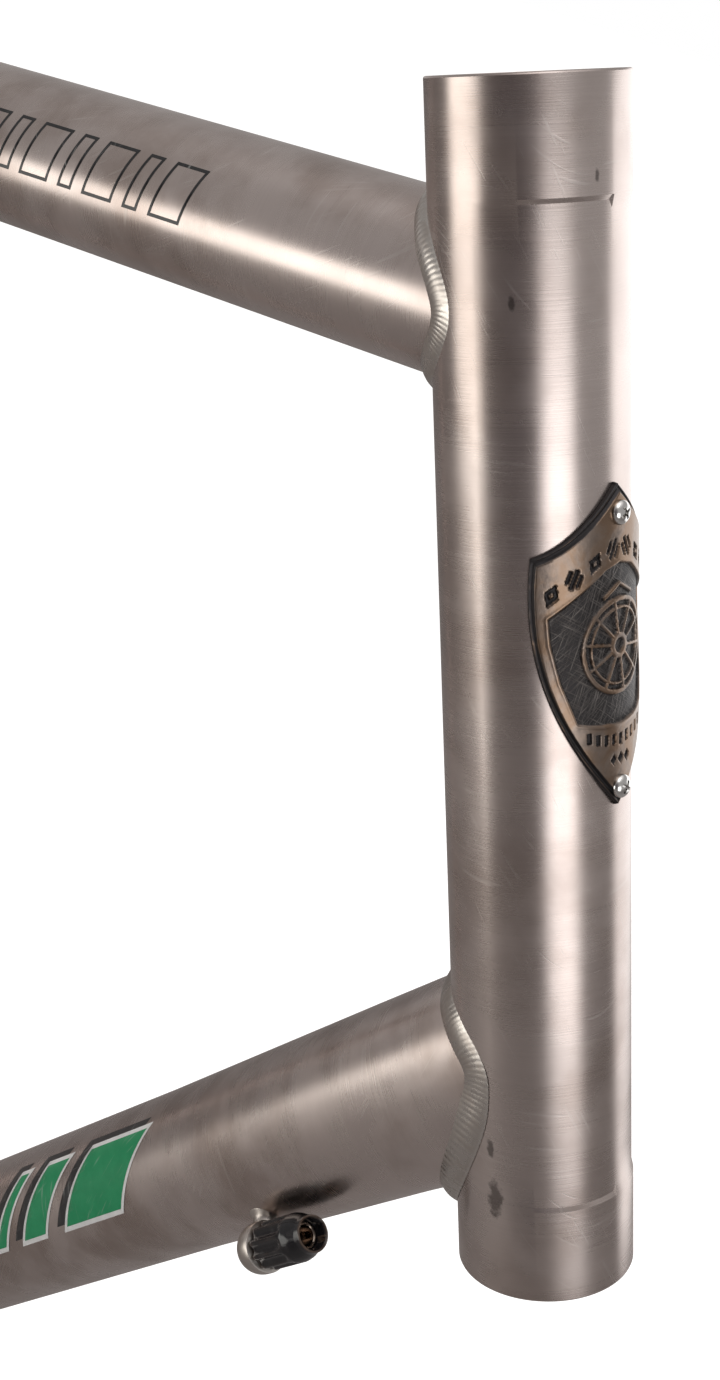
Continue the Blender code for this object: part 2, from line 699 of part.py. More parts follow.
def shield_outline():
    """Half width round the tube and height below the tip, down one side of the shield."""
    wide, tall, shoulder = BADGE_HALF_WIDTH, BADGE_HEIGHT, BADGE_SHOULDER_DROP
    tip, corner, foot = Vector((0, 0)), Vector((wide, shoulder)), Vector((0, tall))
    brow_pull = (Vector((0.31 * wide, 0.39 * shoulder)), Vector((0.62 * wide, 0.85 * shoulder)))
    cheek_pull = (Vector((1.11 * wide, 0.47 * tall)), Vector((0.89 * wide, 0.73 * tall)))
    brow = interpolate_bezier(tip, *brow_pull, corner, 7)
    cheek = interpolate_bezier(corner, *cheek_pull, foot, 15)
    return brow + cheek[1:]


def build_badge():
    tip = HEAD_TUBE_LENGTH - BADGE_TIP
    profile = [
        (BADGE_OUTSIDE, tip),
        (BADGE_OUTSIDE, tip - BADGE_HEIGHT),
        (BADGE_RADIUS, tip - BADGE_HEIGHT),
        (BADGE_RADIUS, tip),
    ]
    place = head_place()
    place.translation -= HEAD_RELIEF_SHIFT * HEAD_FRONT
    badge = keep(turned("head_badge", profile, FINE), metal("badge_bronze", (0.20, 0.16, 0.12), 0.38), place)
    half = [(BADGE_OUTSIDE * math.sin(p.x / BADGE_OUTSIDE), -p.y) for p in shield_outline()]
    outline = [Vector(p) for p in half] + [Vector((-x, y)) for x, y in half[-2:0:-1]]
    cutter = plate("shield", [outline], 2 * BADGE_OUTSIDE)
    stand = Matrix(((0, 0, 1), (1, 0, 0), (0, 1, 0))).to_4x4()
    stand.translation = (BADGE_OUTSIDE * 1.2, 0, tip)
    boolean(badge, as_cutter(cutter, place @ stand), "INTERSECT")
    for word, height in badge_screw_heights():
        face = HEAD_FOOT + height * HEAD_UP + (BADGE_OUTSIDE - HEAD_RELIEF_SHIFT + GAP) * HEAD_FRONT
        seat = axes(face, HEAD_FRONT)
        hole = BADGE_SCREW_SHANK_OD / 2 + GAP
        boolean(badge, bar("badge_hole_" + word, seat, hole, -REACH / 2, REACH / 2, SMALL))
        build_pan_screw("badge_screw_" + word, seat)


def build_pan_screw(name, place):
    """A small cross-head screw whose head sits on the place's origin."""
    head, tall, shank = BADGE_SCREW_HEAD_OD / 2, BADGE_SCREW_HEAD_HEIGHT, BADGE_SCREW_SHANK_OD / 2
    crown = [(head * math.sin(a), tall * (0.25 + 0.75 * math.cos(a))) for a in quarter(5)]
    profile = crown + [(head, 0), (shank, 0), (shank, -BADGE_SCREW_LENGTH), (0, -BADGE_SCREW_LENGTH)]
    screw = turned(name, profile, SMALL, ring=False)
    keep(screw, metal(name + "_steel", (0.75, 0.74, 0.72), 0.2), place)
    slot = (1.2 * head, BADGE_SCREW_CROSS, tall)
    for turn in (0, math.pi / 2):
        spun = place @ Matrix.Rotation(turn, 4, "Z")
        boolean(screw, block(name + "_cross", spun, slot, (0, 0, tall)))


# ---------------------------------------------------------------- cable adjusters


def adjuster_place(side):
    """Local Z is the cable's line, forwards; local X points away from the down tube."""
    under = DOWN_BACK.cross(LEFT)
    out = math.cos(ADJUSTER_ANGLE) * under + math.sin(ADJUSTER_ANGLE) * side * LEFT
    half_height, half_width = down_section(ADJUSTER_FROM_HEAD)
    slant = math.hypot(math.cos(ADJUSTER_ANGLE) / half_height, math.sin(ADJUSTER_ANGLE) / half_width)
    origin = DOWN_START + ADJUSTER_FROM_HEAD * DOWN_BACK + (1 / slant + ADJUSTER_STAND_OFF) * out
    forward = -DOWN_BACK
    return axes(origin, forward, forward.cross(out))


def add_foot(obj, name, place, size, centre, tube):
    """Joins a small block to a fitting and mitres it to the tube that it stands on."""
    boolean(obj, block(name + "_foot", place, size, centre), "UNION")
    boolean(obj, tube)


def build_adjuster(word, side):
    pivot = bpy.data.objects.new("adjuster_axis_" + word, None)
    PARTS.objects.link(pivot)
    pivot.matrix_world = adjuster_place(side)
    thread = ADJUSTER_THREAD_OD / 2
    cable = CABLE_HOLE / 2

    outer, rim = BOSS_OD / 2, BOSS_RIM
    dome = [(outer * math.cos(a), -rim - outer * math.sin(a)) for a in quarter(7)[:-1]]
    depth = ADJUSTER_TRAVEL + BOSS_BORE_PAST_TRAVEL
    bottom = -rim - outer * math.sqrt(1 - (cable / outer) ** 2)
    bore = [(cable, bottom), (cable, -depth), (thread + GAP, -depth), (thread + GAP, -GAP)]
    boss = turned("adjuster_boss_" + word, [(outer, -GAP)] + dome + bore, MEDIUM)
    keep(boss, titanium("boss_titanium_" + word), pivot.matrix_world)
    across, along = BOSS_FOOT
    root = thread + BOSS_WALL
    reach = ADJUSTER_STAND_OFF + DOWN_TUBE_OD / 8
    foot_centre = (-(root + reach) / 2, 0, -BOSS_FOOT_INSET - along / 2)
    size = (reach - root, across, along)
    add_foot(boss, "adjuster_" + word, pivot.matrix_world, size, foot_centre, CUT["down"])

    wide, mouth, socket = KNOB_OD / 2, KNOB_MOUTH_OD / 2, KNOB_SOCKET / 2
    floor = KNOB_LENGTH - KNOB_SOCKET_DEPTH
    recess = floor - BARREL_COLLAR_SEAT
    knob_profile = [
        (mouth, KNOB_LENGTH),
        (mouth, KNOB_LENGTH - KNOB_LIP),
        (wide, KNOB_LENGTH - KNOB_SHOULDER),
        (wide, KNOB_EDGE),
        (wide - KNOB_EDGE, 0),
        (thread + GAP, 0),
        (thread + GAP, recess),
        (socket, recess),
        (socket, KNOB_LENGTH),
    ]
    knob = turned("adjuster_knob_" + word, knob_profile, MEDIUM)
    keep(knob, metal("knob_plastic_" + word, (0.012, 0.012, 0.014), 0.3, 0.0))
    knob.parent = pivot

    collar = socket - GAP
    screw_end = -ADJUSTER_TRAVEL - BARREL_PAST_TRAVEL
    barrel_profile = [
        (collar, floor),
        (collar, recess + GAP),
        (thread, recess + GAP),
        (thread, screw_end),
        (cable, screw_end),
        (cable, floor),
    ]
    barrel = turned("adjuster_barrel_" + word, barrel_profile, SMALL)
    keep(barrel, metal("barrel_brass_" + word, (0.42, 0.33, 0.22), 0.3))
    barrel.parent = pivot

    cup_height, cup_floor, cup_wall = SEAT_CUP
    seat_floor = floor + GAP
    seat_profile = [
        (collar, seat_floor + cup_height),
        (collar, seat_floor),
        (cable, seat_floor),
        (cable, seat_floor + cup_floor),
        (collar - cup_wall, seat_floor + cup_floor),
        (collar - cup_wall, seat_floor + cup_height),
    ]
    seat = turned("adjuster_seat_" + word, seat_profile, SMALL)
    keep(seat, metal("seat_steel_" + word, (0.62, 0.60, 0.58), 0.22))
    seat.parent = pivot


# ---------------------------------------------------------------- bottle mounts


def bottle_places():
    """The four bottle mounts, each with local Z out of its tube."""
    on_down, on_seat = BOTTLE_FROM_BRACKET
    down_up = LEFT.cross(DOWN_BACK)
    places = []
    for k, level in enumerate(("lower", "upper")):
        half_height, _ = down_section(DOWN_LENGTH - on_down - k * BOTTLE_SPACING)
        point = -(on_down + k * BOTTLE_SPACING) * DOWN_BACK + half_height * down_up
        places.append(("down_tube_" + level, axes(point, down_up)))
        point = (on_seat + k * BOTTLE_SPACING) * SEAT_UP + SEAT_TUBE_OD / 2 * SEAT_FRONT
        places.append(("seat_tube_" + level, axes(point, SEAT_FRONT)))
    return places


def bottle_hole(name, place):
    return bar("bottle_hole_" + name, place, BOTTLE_BOSS_OD / 2 + GAP, -REACH / 2, REACH / 2, SMALL)


def build_bottle_mounts():
    for name, place in bottle_places():
        outer, flange = BOTTLE_BOSS_OD / 2, BOTTLE_BOSS_FLANGE_OD / 2
        bore, proud, depth = BOTTLE_BOLT_OD / 2 + GAP, BOTTLE_BOSS_PROUD, BOTTLE_BOSS_LENGTH
        outside = [(flange, proud), (flange, GAP), (outer, GAP), (outer, -depth)]
        profile = outside + [(bore, -depth), (bore, proud)]
        boss = turned("bottle_boss_" + name, profile, SMALL)
        keep(boss, titanium("bottle_boss_titanium_" + name), place)
        build_bottle_bolt("bottle_bolt_" + name, place @ Matrix.Translation((0, 0, proud + GAP)))


def build_bottle_bolt(name, place):
    """A round-head bolt with a six-sided socket, its head on the place's origin."""
    head, tall, shank = BOTTLE_BOLT_HEAD_OD / 2, BOTTLE_BOLT_HEAD_HEIGHT, BOTTLE_BOLT_OD / 2
    crown = [(head * math.sin(a), tall * (0.3 + 0.7 * math.cos(a))) for a in quarter(5)]
    length = BOTTLE_BOSS_LENGTH + BOTTLE_BOLT_PAST_BOSS
    profile = crown + [(head, 0), (shank, 0), (shank, -length), (0, -length)]
    bolt = turned(name, profile, SMALL, ring=False)
    keep(bolt, metal(name + "_steel", (0.70, 0.69, 0.67), 0.22), place)
    boolean(bolt, bar(name + "_socket", place, BOTTLE_BOLT_SOCKET / 2, tall * 0.35, tall * 2, 6))


# ---------------------------------------------------------------- stops, guide, collar


def build_stop(name, place, tube, tube_gap):
    """A bullet-shaped cable stop: local Z points out of its socket, local X away from the tube."""
    outer, socket, cable = STOP_OD / 2, STOP_SOCKET / 2, CABLE_HOLE / 2
    nose = [(outer * math.cos(a), -STOP_LENGTH + outer - outer * math.sin(a)) for a in quarter(5)[:-1]]
    tip = -STOP_LENGTH + outer - outer * math.sqrt(1 - (cable / outer) ** 2)
    inside = [(cable, tip), (cable, -0.6 * STOP_LENGTH), (socket, -0.6 * STOP_LENGTH), (socket, 0)]
    stop = turned(name, [(outer, 0)] + nose + inside, SMALL)
    keep(stop, titanium(name + "_titanium"), place)
    across, along = STOP_FOOT
    reach = tube_gap + 0.004
    size = (reach - socket, across, along)
    from_socket, from_mouth = STOP_FOOT_INSET
    centre = (-socket - from_socket - size[0] / 2, 0, -along / 2 - from_mouth)
    add_foot(stop, name, place, size, centre, tube)


def build_stops():
    under = TOP_BACK.cross(LEFT)
    out = math.cos(TOP_TUBE_STOP_ANGLE) * under + math.sin(TOP_TUBE_STOP_ANGLE) * LEFT
    for word, distance, forward in zip(("front", "rear"), TOP_TUBE_STOPS, (-TOP_BACK, TOP_BACK)):
        origin = TOP_START + distance * TOP_BACK + (TOP_TUBE_OD / 2 + STOP_STAND_OFF) * out
        place = axes(origin, forward, forward.cross(out))
        build_stop("brake_cable_stop_" + word, place, CUT["top"], STOP_STAND_OFF)
    share = CHAINSTAY_STOP_SHARE
    here, behind = chainstay_point(-1, share), chainstay_point(-1, share + 0.02)
    along = (behind - here).normalized()
    down = along.cross(Vector((0, 0, -1)).cross(along)).normalized()
    radius = blend(CHAINSTAY_OD, CHAINSTAY_TIP_OD, 1.25 * share - 0.25) / 2
    place = axes(here + (radius + STOP_STAND_OFF) * down, along, along.cross(down))
    build_stop("gear_cable_stop", place, CUT["chainstay_right"], STOP_STAND_OFF)


def build_guide():
    long, wide, thick = GUIDE_SIZE
    low = -SHELL_OD / 2 - GAP - thick
    below = axes(Vector((0, 0, low)), (0, 0, -1), LEFT)
    tall_sides = thick + GUIDE_SHOULDER
    mesh = block_mesh("bracket_cable_guide", (long, wide, tall_sides), (0, 0, low + tall_sides / 2))
    guide = bpy.data.objects.new("bracket_cable_guide", mesh)
    keep(guide, metal("guide_plastic", (0.02, 0.02, 0.02), 0.45, 0.0))
    boolean(guide, CUT["shell"])
    for word, side in SIDES:
        place = axes(Vector((0, side * GUIDE_GROOVE_Y, low)), (1, 0, 0))
        boolean(guide, bar("groove_" + word, place, GUIDE_GROOVE / 2, -long, long, SMALL))
    boolean(guide, bar("guide_screw_hole", below, GUIDE_SCREW_OD / 2 + GAP, -REACH, REACH, SMALL))
    head, tall, shank = GUIDE_SCREW_HEAD[0] / 2, GUIDE_SCREW_HEAD[1], GUIDE_SCREW_OD / 2
    length = thick + (SHELL_OD - SHELL_BORE) / 2 - 2 * GAP
    crown = [(0, tall), (head * 0.8, tall), (head, tall * 0.6)]
    profile = crown + [(head, 0), (shank, 0), (shank, -length), (0, -length)]
    screw = turned("bracket_guide_screw", profile, SMALL, ring=False)
    seat = below @ Matrix.Translation((0, 0, GAP))
    keep(screw, metal("guide_screw_steel", (0.70, 0.69, 0.67), 0.25), seat)
    boolean(screw, bar("guide_screw_socket", seat, GUIDE_SCREW_SOCKET / 2, tall * 0.35, tall * 2, 6))


def build_collar():
    inner = SEAT_TUBE_OD / 2 + GAP
    outer = inner + COLLAR_THICKNESS
    top = SEAT_TUBE_LENGTH
    bottom = top - COLLAR_HEIGHT
    place = seat_place()
    collar = turned("seat_collar", [(outer, top), (outer, bottom), (inner, bottom), (inner, top)], FINE)
    keep(collar, metal("collar_alloy", (0.55, 0.54, 0.53), 0.3), place)
    depth, wide, tall = COLLAR_LUG
    middle = (top + bottom) / 2
    root = math.sqrt(outer**2 - (wide / 2) ** 2) - COLLAR_LUG_ROOT
    lug_size = (outer + depth - root, wide, tall)
    lug = block("collar_lug", place, lug_size, (-root - lug_size[0] / 2, 0, middle))
    boolean(collar, lug, "UNION")
    slot_size = (4 * depth, COLLAR_GAP, 2 * COLLAR_HEIGHT)
    boolean(collar, block("collar_slot", place, slot_size, (-outer - depth, 0, middle)))
    bolt_at = middle * SEAT_UP - (outer + 0.55 * depth) * SEAT_FRONT
    shank = COLLAR_BOLT_OD / 2
    across = axes(bolt_at, -LEFT, SEAT_UP)
    boolean(collar, bar("collar_bolt_hole", across, shank + GAP, -wide, wide, SMALL))
    head, head_height = COLLAR_BOLT_HEAD[0] / 2, COLLAR_BOLT_HEAD[1]
    face = wide / 2 + GAP
    top_face = face + head_height
    far = -face - COLLAR_NUT_LENGTH
    bolt_head = [(0, top_face), (head, top_face), (head, face)]
    bolt_profile = bolt_head + [(shank, face), (shank, far), (0, far)]
    bolt = turned("seat_collar_bolt", bolt_profile, SMALL, ring=False)
    keep(bolt, metal("collar_bolt_steel", (0.70, 0.69, 0.67), 0.22), across)
    socket_floor = face + head_height * 0.4
    boolean(bolt, bar("collar_bolt_socket", across, COLLAR_BOLT_SOCKET / 2, socket_floor, 2 * top_face, 6))
    bore = shank + GAP
    nut = turned("seat_collar_nut", [(head, -face), (head, far), (bore, far), (bore, -face)], SMALL)
    keep(nut, metal("collar_nut_steel", (0.66, 0.65, 0.63), 0.25), across)


# ---------------------------------------------------------------- assembly

clear_scene()
PARTS = fresh_collection("bicycle_frame")
CUTTERS = fresh_collection("cutters")
CUT = make_cutters()
build_head_tube()
build_top_tube()
build_down_tube()
build_seat_tube()
build_bottom_bracket_shell()
build_chainstays()
build_seatstays()
build_dropouts()
build_brake_bridge()
build_chainstay_bridge()
build_badge()
for word, side in SIDES:
    build_adjuster(word, side)
build_bottle_mounts()
build_stops()
build_guide()
build_collar()
bpy.context.view_layer.update()
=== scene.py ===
"""Fine surfaces, finishes and studio for a welded titanium road bicycle frame.

Metres, in the frame's own axes: +X to the front, +Y to the rider's left, +Z up, and the origin at the
centre of the bottom bracket. Every piece is made in place and rides on one of the frame's bodies.
"""

import json
import math
from functools import lru_cache

import bmesh
import bpy
import numpy as np
from bpy.props import FloatProperty, FloatVectorProperty, IntProperty, PointerProperty
from mathutils import Matrix, Vector, noise


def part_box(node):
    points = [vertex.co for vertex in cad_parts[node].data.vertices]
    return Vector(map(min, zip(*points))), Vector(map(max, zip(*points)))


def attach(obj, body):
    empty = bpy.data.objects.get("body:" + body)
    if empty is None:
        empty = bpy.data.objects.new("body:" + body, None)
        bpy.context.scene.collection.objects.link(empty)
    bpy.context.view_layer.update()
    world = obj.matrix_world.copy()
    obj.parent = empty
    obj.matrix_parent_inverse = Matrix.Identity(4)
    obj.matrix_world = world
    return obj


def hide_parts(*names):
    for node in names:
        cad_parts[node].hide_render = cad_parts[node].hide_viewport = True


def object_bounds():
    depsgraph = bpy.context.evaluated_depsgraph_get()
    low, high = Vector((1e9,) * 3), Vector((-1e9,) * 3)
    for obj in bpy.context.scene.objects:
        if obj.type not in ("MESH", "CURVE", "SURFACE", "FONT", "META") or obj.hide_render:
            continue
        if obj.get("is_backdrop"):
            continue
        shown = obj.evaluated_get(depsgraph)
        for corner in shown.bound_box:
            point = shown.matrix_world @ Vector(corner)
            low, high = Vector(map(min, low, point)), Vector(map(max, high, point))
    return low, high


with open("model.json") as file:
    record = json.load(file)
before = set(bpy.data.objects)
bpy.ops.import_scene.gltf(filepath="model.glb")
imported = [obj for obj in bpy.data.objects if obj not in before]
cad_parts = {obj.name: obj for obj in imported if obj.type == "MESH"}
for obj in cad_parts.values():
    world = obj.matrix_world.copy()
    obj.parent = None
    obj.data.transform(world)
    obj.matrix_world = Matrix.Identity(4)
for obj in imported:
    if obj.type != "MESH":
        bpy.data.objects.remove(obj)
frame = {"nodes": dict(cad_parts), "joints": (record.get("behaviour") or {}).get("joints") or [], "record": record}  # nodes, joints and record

bl_info = {
    "name": "Titanium Road Frame",
    "version": (1, 0, 0),
    "blender": (4, 5, 0),
    "location": "3D View > Sidebar > Road Frame",
    "description": "Builds the fine surfaces and finishes of a welded titanium road frame",
    "category": "Mesh",
}

CAD_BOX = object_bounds()

# ---------------------------------------------------------------- places, read from the frame

LEFT = Vector((0, 1, 0))
UP = Vector((0, 0, 1))
SIDES = (("right", -1), ("left", 1))


def mount(name):
    found = next(m for m in frame["record"]["mounts"] if m["name"] == name)
    return Vector(found["pos_m"]), Vector(found["axis"])


def joint(name):
    return next(j for j in frame["joints"] if j["name"] == name)


def axes(origin, along, side=LEFT):
    """A place whose local Z runs along one direction and whose local Y lies nearest to another."""
    z = Vector(along).normalized()
    x = Vector(side).cross(z).normalized()
    y = z.cross(x)
    place = Matrix((x, y, z)).transposed().to_4x4()
    place.translation = origin
    return place


@lru_cache(maxsize=None)
def half_width(node):
    """Outer radius of a tube that lies in the frame's middle plane."""
    low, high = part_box(node)
    return (high.y - low.y) / 2


AXLE_FROM_MOUNT = Vector((-0.0005, 0, -0.0095))  # the dropout's mount sits just above the axle

HEAD_UP = mount("head_tube_top_face")[1]
HEAD_FRONT = LEFT.cross(HEAD_UP)
SEAT_UP = mount("seat_tube_rim")[1]
SEAT_FRONT = LEFT.cross(SEAT_UP)
DOWN_BACK = -Vector(joint("adjuster_right_turn")["axis"])
BRACKET = mount("bottom_bracket_centre")[0]
INNER_DROPOUT, _ = mount("dropout_left_inner_face")
REAR_AXLE = INNER_DROPOUT + AXLE_FROM_MOUNT
REAR_AXLE.y = 0
PLATE_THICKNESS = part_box("dropout_left")[1].y - INNER_DROPOUT.y
DROPOUT_Y = INNER_DROPOUT.y + PLATE_THICKNESS / 2
CHAINSTAY_AIM = (BRACKET - REAR_AXLE).normalized()


# ---------------------------------------------------------------- sizes and colours a user may change


class RoadFrameTubes(bpy.types.PropertyGroup):
    head_bore: FloatProperty(name="Head bore", description="Bore of the head tube", default=0.0340, unit="LENGTH")
    ring: FloatProperty(
        name="Ring height", description="Full-diameter ring at each end of the head tube", default=0.0215, unit="LENGTH"
    )
    ring_step: FloatProperty(
        name="Ring step", description="Height of the slope under a ring", default=0.0009, unit="LENGTH"
    )
    relief: FloatProperty(
        name="Relief", description="Depth of the turned middle of the head tube", default=0.00028, unit="LENGTH"
    )
    relief_shift: FloatProperty(
        name="Relief shift", description="Rearward shift of the turned middle", default=0.00027, unit="LENGTH"
    )
    wall: FloatProperty(name="Wall", description="Wall of the frame tubes", default=0.0009, unit="LENGTH")
    top_drop: FloatProperty(
        name="Top tube drop", description="Head tube rim to the top tube's axis", default=0.04315, unit="LENGTH"
    )
    top_slope: FloatProperty(
        name="Top tube slope", description="Fall of the top tube to the rear", default=math.radians(4.7), unit="ROTATION"
    )
    down_rise: FloatProperty(
        name="Down tube rise", description="Lower rim to the down tube's axis", default=0.04955, unit="LENGTH"
    )
    down_round: FloatProperty(
        name="Down tube", description="Down tube where it is round", default=0.0413, unit="LENGTH"
    )
    down_head: FloatVectorProperty(
        name="Down tube at head", description="Height and width at the head", size=2, default=(0.0438, 0.0386), unit="LENGTH"
    )
    down_bracket: FloatVectorProperty(
        name="Down tube at bracket", description="Height and width there", size=2, default=(0.0360, 0.0450), unit="LENGTH"
    )
    swages: FloatVectorProperty(
        name="Swages", description="Lengths of the shaped ends", size=2, default=(0.130, 0.110), unit="LENGTH"
    )
    seat_outside: FloatProperty(name="Seat tube", description="Outside of the seat tube", default=0.03175, unit="LENGTH")
    post_bore: FloatProperty(name="Post bore", description="Bore for the seat post", default=0.0272, unit="LENGTH")
    sleeve: FloatProperty(name="Sleeve", description="Length of the seat post bore", default=0.110, unit="LENGTH")
    slot: FloatVectorProperty(
        name="Slot", description="Width, depth and end hole of the slot", size=3, default=(0.0025, 0.030, 0.0050), unit="LENGTH"
    )
    shell_bore: FloatProperty(name="Shell bore", description="Bore of the bracket shell", default=0.0345, unit="LENGTH")
    thread_length: FloatProperty(
        name="Thread length", description="Threaded depth at each end of the shell", default=0.024, unit="LENGTH"
    )


class RoadFrameStays(bpy.types.PropertyGroup):
    chainstay: FloatVectorProperty(
        name="Chainstay", description="Outside at the bracket and at the axle", size=2, default=(0.0222, 0.0160), unit="LENGTH"
    )
    chainstay_y: FloatProperty(
        name="Chainstay start", description="Distance from the middle at the bracket", default=0.0235, unit="LENGTH"
    )
    bend: FloatVectorProperty(
        name="Bend", description="Shares of the stay where its bend starts and ends", size=2, default=(0.12, 0.86)
    )
    seatstay: FloatProperty(name="Seatstay", description="Outside of the seatstays", default=0.0140, unit="LENGTH")
    seatstay_y: FloatProperty(
        name="Seatstay start", description="Distance from the middle at the seat tube", default=0.0086, unit="LENGTH"
    )
    seatstay_drop: FloatProperty(
        name="Seatstay drop", description="Below the top tube's axis", default=0.012, unit="LENGTH"
    )
    axle_gap: FloatProperty(name="Axle gap", description="End of each stay from the axle", default=0.030, unit="LENGTH")
    slot_depth: FloatProperty(name="Slot depth", description="Plate held in the stay", default=0.016, unit="LENGTH")
    bridge_rise: FloatProperty(
        name="Brake bridge", description="Brake bridge from the axle", default=0.362, unit="LENGTH"
    )
    bridge: FloatVectorProperty(
        name="Bridges", description="Outsides of brake and chainstay bridge", size=2, default=(0.0159, 0.0127), unit="LENGTH"
    )
    bridge_x: FloatProperty(name="Lower bridge", description="Chainstay bridge behind the bracket", default=0.058, unit="LENGTH")
    bushing: FloatVectorProperty(
        name="Bushing", description="Outside, bore and length", size=3, default=(0.0115, 0.0064, 0.0200), unit="LENGTH"
    )


class RoadFrameFittings(bpy.types.PropertyGroup):
    bottle_from_bracket: FloatVectorProperty(
        name="Bottle bosses", description="Lower boss on down and seat tube", size=2, default=(0.2200, 0.2000), unit="LENGTH"
    )
    bottle_spacing: FloatProperty(name="Boss spacing", description="Between two bosses", default=0.0640, unit="LENGTH")
    boss: FloatVectorProperty(
        name="Boss", description="Flange, height and bore", size=3, default=(0.0120, 0.0012, 0.0056), unit="LENGTH"
    )
    bolt: FloatVectorProperty(
        name="Bottle bolt", description="Head, its height and shank", size=3, default=(0.0085, 0.0032, 0.0050), unit="LENGTH"
    )
    stop: FloatVectorProperty(
        name="Cable stop", description="Outside, length and socket", size=3, default=(0.0074, 0.0130, 0.0052), unit="LENGTH"
    )
    stop_stand_off: FloatProperty(name="Stop height", description="Tube to the cable", default=0.0052, unit="LENGTH")
    top_stops: FloatVectorProperty(
        name="Top tube stops", description="From the head tube's axis", size=2, default=(0.150, 0.470), unit="LENGTH"
    )
    stop_angle: FloatProperty(
        name="Stop angle", description="From the underside to the left", default=math.radians(40.0), unit="ROTATION"
    )
    chainstay_share: FloatProperty(name="Chainstay stop", description="Share of the chainstay", default=0.80)
    cable: FloatProperty(name="Cable hole", description="Hole for the inner wire", default=0.0018, unit="LENGTH")
    collar: FloatVectorProperty(
        name="Seat collar", description="Height and thickness", size=2, default=(0.0150, 0.0034), unit="LENGTH"
    )
    lug: FloatVectorProperty(
        name="Collar lug", description="Depth, width and height", size=3, default=(0.0105, 0.0140, 0.0115), unit="LENGTH"
    )
    collar_gap: FloatProperty(name="Collar gap", description="Slot in the collar", default=0.0030, unit="LENGTH")


class RoadFrameBadge(bpy.types.PropertyGroup):
    tip: FloatProperty(name="Tip", description="Upper tip below the head tube's rim", default=0.0739, unit="LENGTH")
    height: FloatProperty(name="Height", description="Tip to tip", default=0.0643, unit="LENGTH")
    half_width: FloatProperty(name="Half width", description="Round the tube", default=0.0196, unit="LENGTH")
    shoulder: FloatProperty(name="Shoulder", description="Tip to shoulder", default=0.0127, unit="LENGTH")
    thickness: FloatProperty(name="Thickness", description="Of the casting", default=0.0016, unit="LENGTH")
    screw: FloatVectorProperty(
        name="Screws", description="Inset from the upper and lower tip", size=2, default=(0.0056, 0.0041), unit="LENGTH"
    )
    screw_head: FloatVectorProperty(
        name="Screw head", description="Outside and height", size=2, default=(0.0048, 0.0016), unit="LENGTH"
    )
    bronze: FloatVectorProperty(
        name="Worn bronze", description="Colour of the rubbed high spots", size=3, default=(0.27, 0.215, 0.18), subtype="COLOR"
    )
    patina: FloatVectorProperty(
        name="Patina", description="Colour of the hollows", size=3, default=(0.045, 0.042, 0.043), subtype="COLOR"
    )


class RoadFrameAdjuster(bpy.types.PropertyGroup):
    boss: FloatVectorProperty(
        name="Boss", description="Outside and straight rim", size=2, default=(0.0124, 0.0022), unit="LENGTH"
    )
    stand_off: FloatProperty(name="Stand-off", description="Tube to the cable's line", default=0.0084, unit="LENGTH")
    knob: FloatVectorProperty(
        name="Knob", description="Outside, length and mouth", size=3, default=(0.0114, 0.0180, 0.0088), unit="LENGTH"
    )
    socket: FloatVectorProperty(
        name="Socket", description="Bore and depth", size=2, default=(0.0068, 0.0100), unit="LENGTH"
    )
    thread: FloatProperty(name="Thread", description="Outside of the screw", default=0.0050, unit="LENGTH")
    pitch: FloatProperty(name="Pitch", description="Of the screw thread", default=0.0008, unit="LENGTH")
    travel: FloatProperty(name="Travel", description="How far the screw runs out", default=0.0040, unit="LENGTH")
    flutes: IntProperty(name="Flutes", description="Grooves round the knob", default=10)


class RoadFrameFinish(bpy.types.PropertyGroup):
    titanium: FloatVectorProperty(
        name="Titanium", description="Brushed titanium", size=3, default=(0.575, 0.50, 0.47), subtype="COLOR"
    )
    stain: FloatVectorProperty(
        name="Stain", description="Brownish handling stain", size=3, default=(0.36, 0.285, 0.25), subtype="COLOR"
    )
    roughness: FloatProperty(name="Roughness", description="Of the brushed tubes", default=0.28, subtype="FACTOR")
    decal_green: FloatVectorProperty(
        name="Decal green", description="Fill of the down tube stripes", size=3, default=(0.0, 0.27, 0.10), subtype="COLOR"
    )


class RoadFrameStudio(bpy.types.PropertyGroup):
    lens: FloatProperty(name="Lens", description="Focal length on a 36 mm sensor", default=51.065)
    eye: FloatVectorProperty(
        name="Eye", description="Camera from the head tube's top: up, front and right", size=3,
        default=(0.00068, 0.22687, 0.29817), unit="LENGTH",
    )
    aim: FloatVectorProperty(
        name="Aim", description="Viewing direction in the same axes", size=3, default=(-0.29955, -0.64684, -0.70133)
    )
    roll: FloatProperty(name="Roll", description="Lean of the camera", default=math.radians(2.52), unit="ROTATION")
    floor: FloatProperty(name="Floor", description="Height of the floor", default=-0.42, unit="LENGTH")


SETTINGS = {
    "road_tubes": RoadFrameTubes,
    "road_stays": RoadFrameStays,
    "road_fittings": RoadFrameFittings,
    "road_badge": RoadFrameBadge,
    "road_adjuster": RoadFrameAdjuster,
    "road_finish": RoadFrameFinish,
    "road_studio": RoadFrameStudio,
}


def settings(name):
    return getattr(bpy.context.scene, "road_" + name)


# ---------------------------------------------------------------- layout of the tubes


def head_top():
    """Centre of the head tube's upper rim."""
    face, _ = mount("head_tube_top_face")
    return face - (half_width("head_tube") + settings("tubes").head_bore / 2) / 2 * HEAD_FRONT


def head_foot():
    face, _ = mount("head_tube_bottom_face")
    return face - (half_width("head_tube") + settings("tubes").head_bore / 2) / 2 * HEAD_FRONT


def seat_top():
    face, _ = mount("seat_tube_rim")
    offset = face.project(SEAT_UP)
    return offset


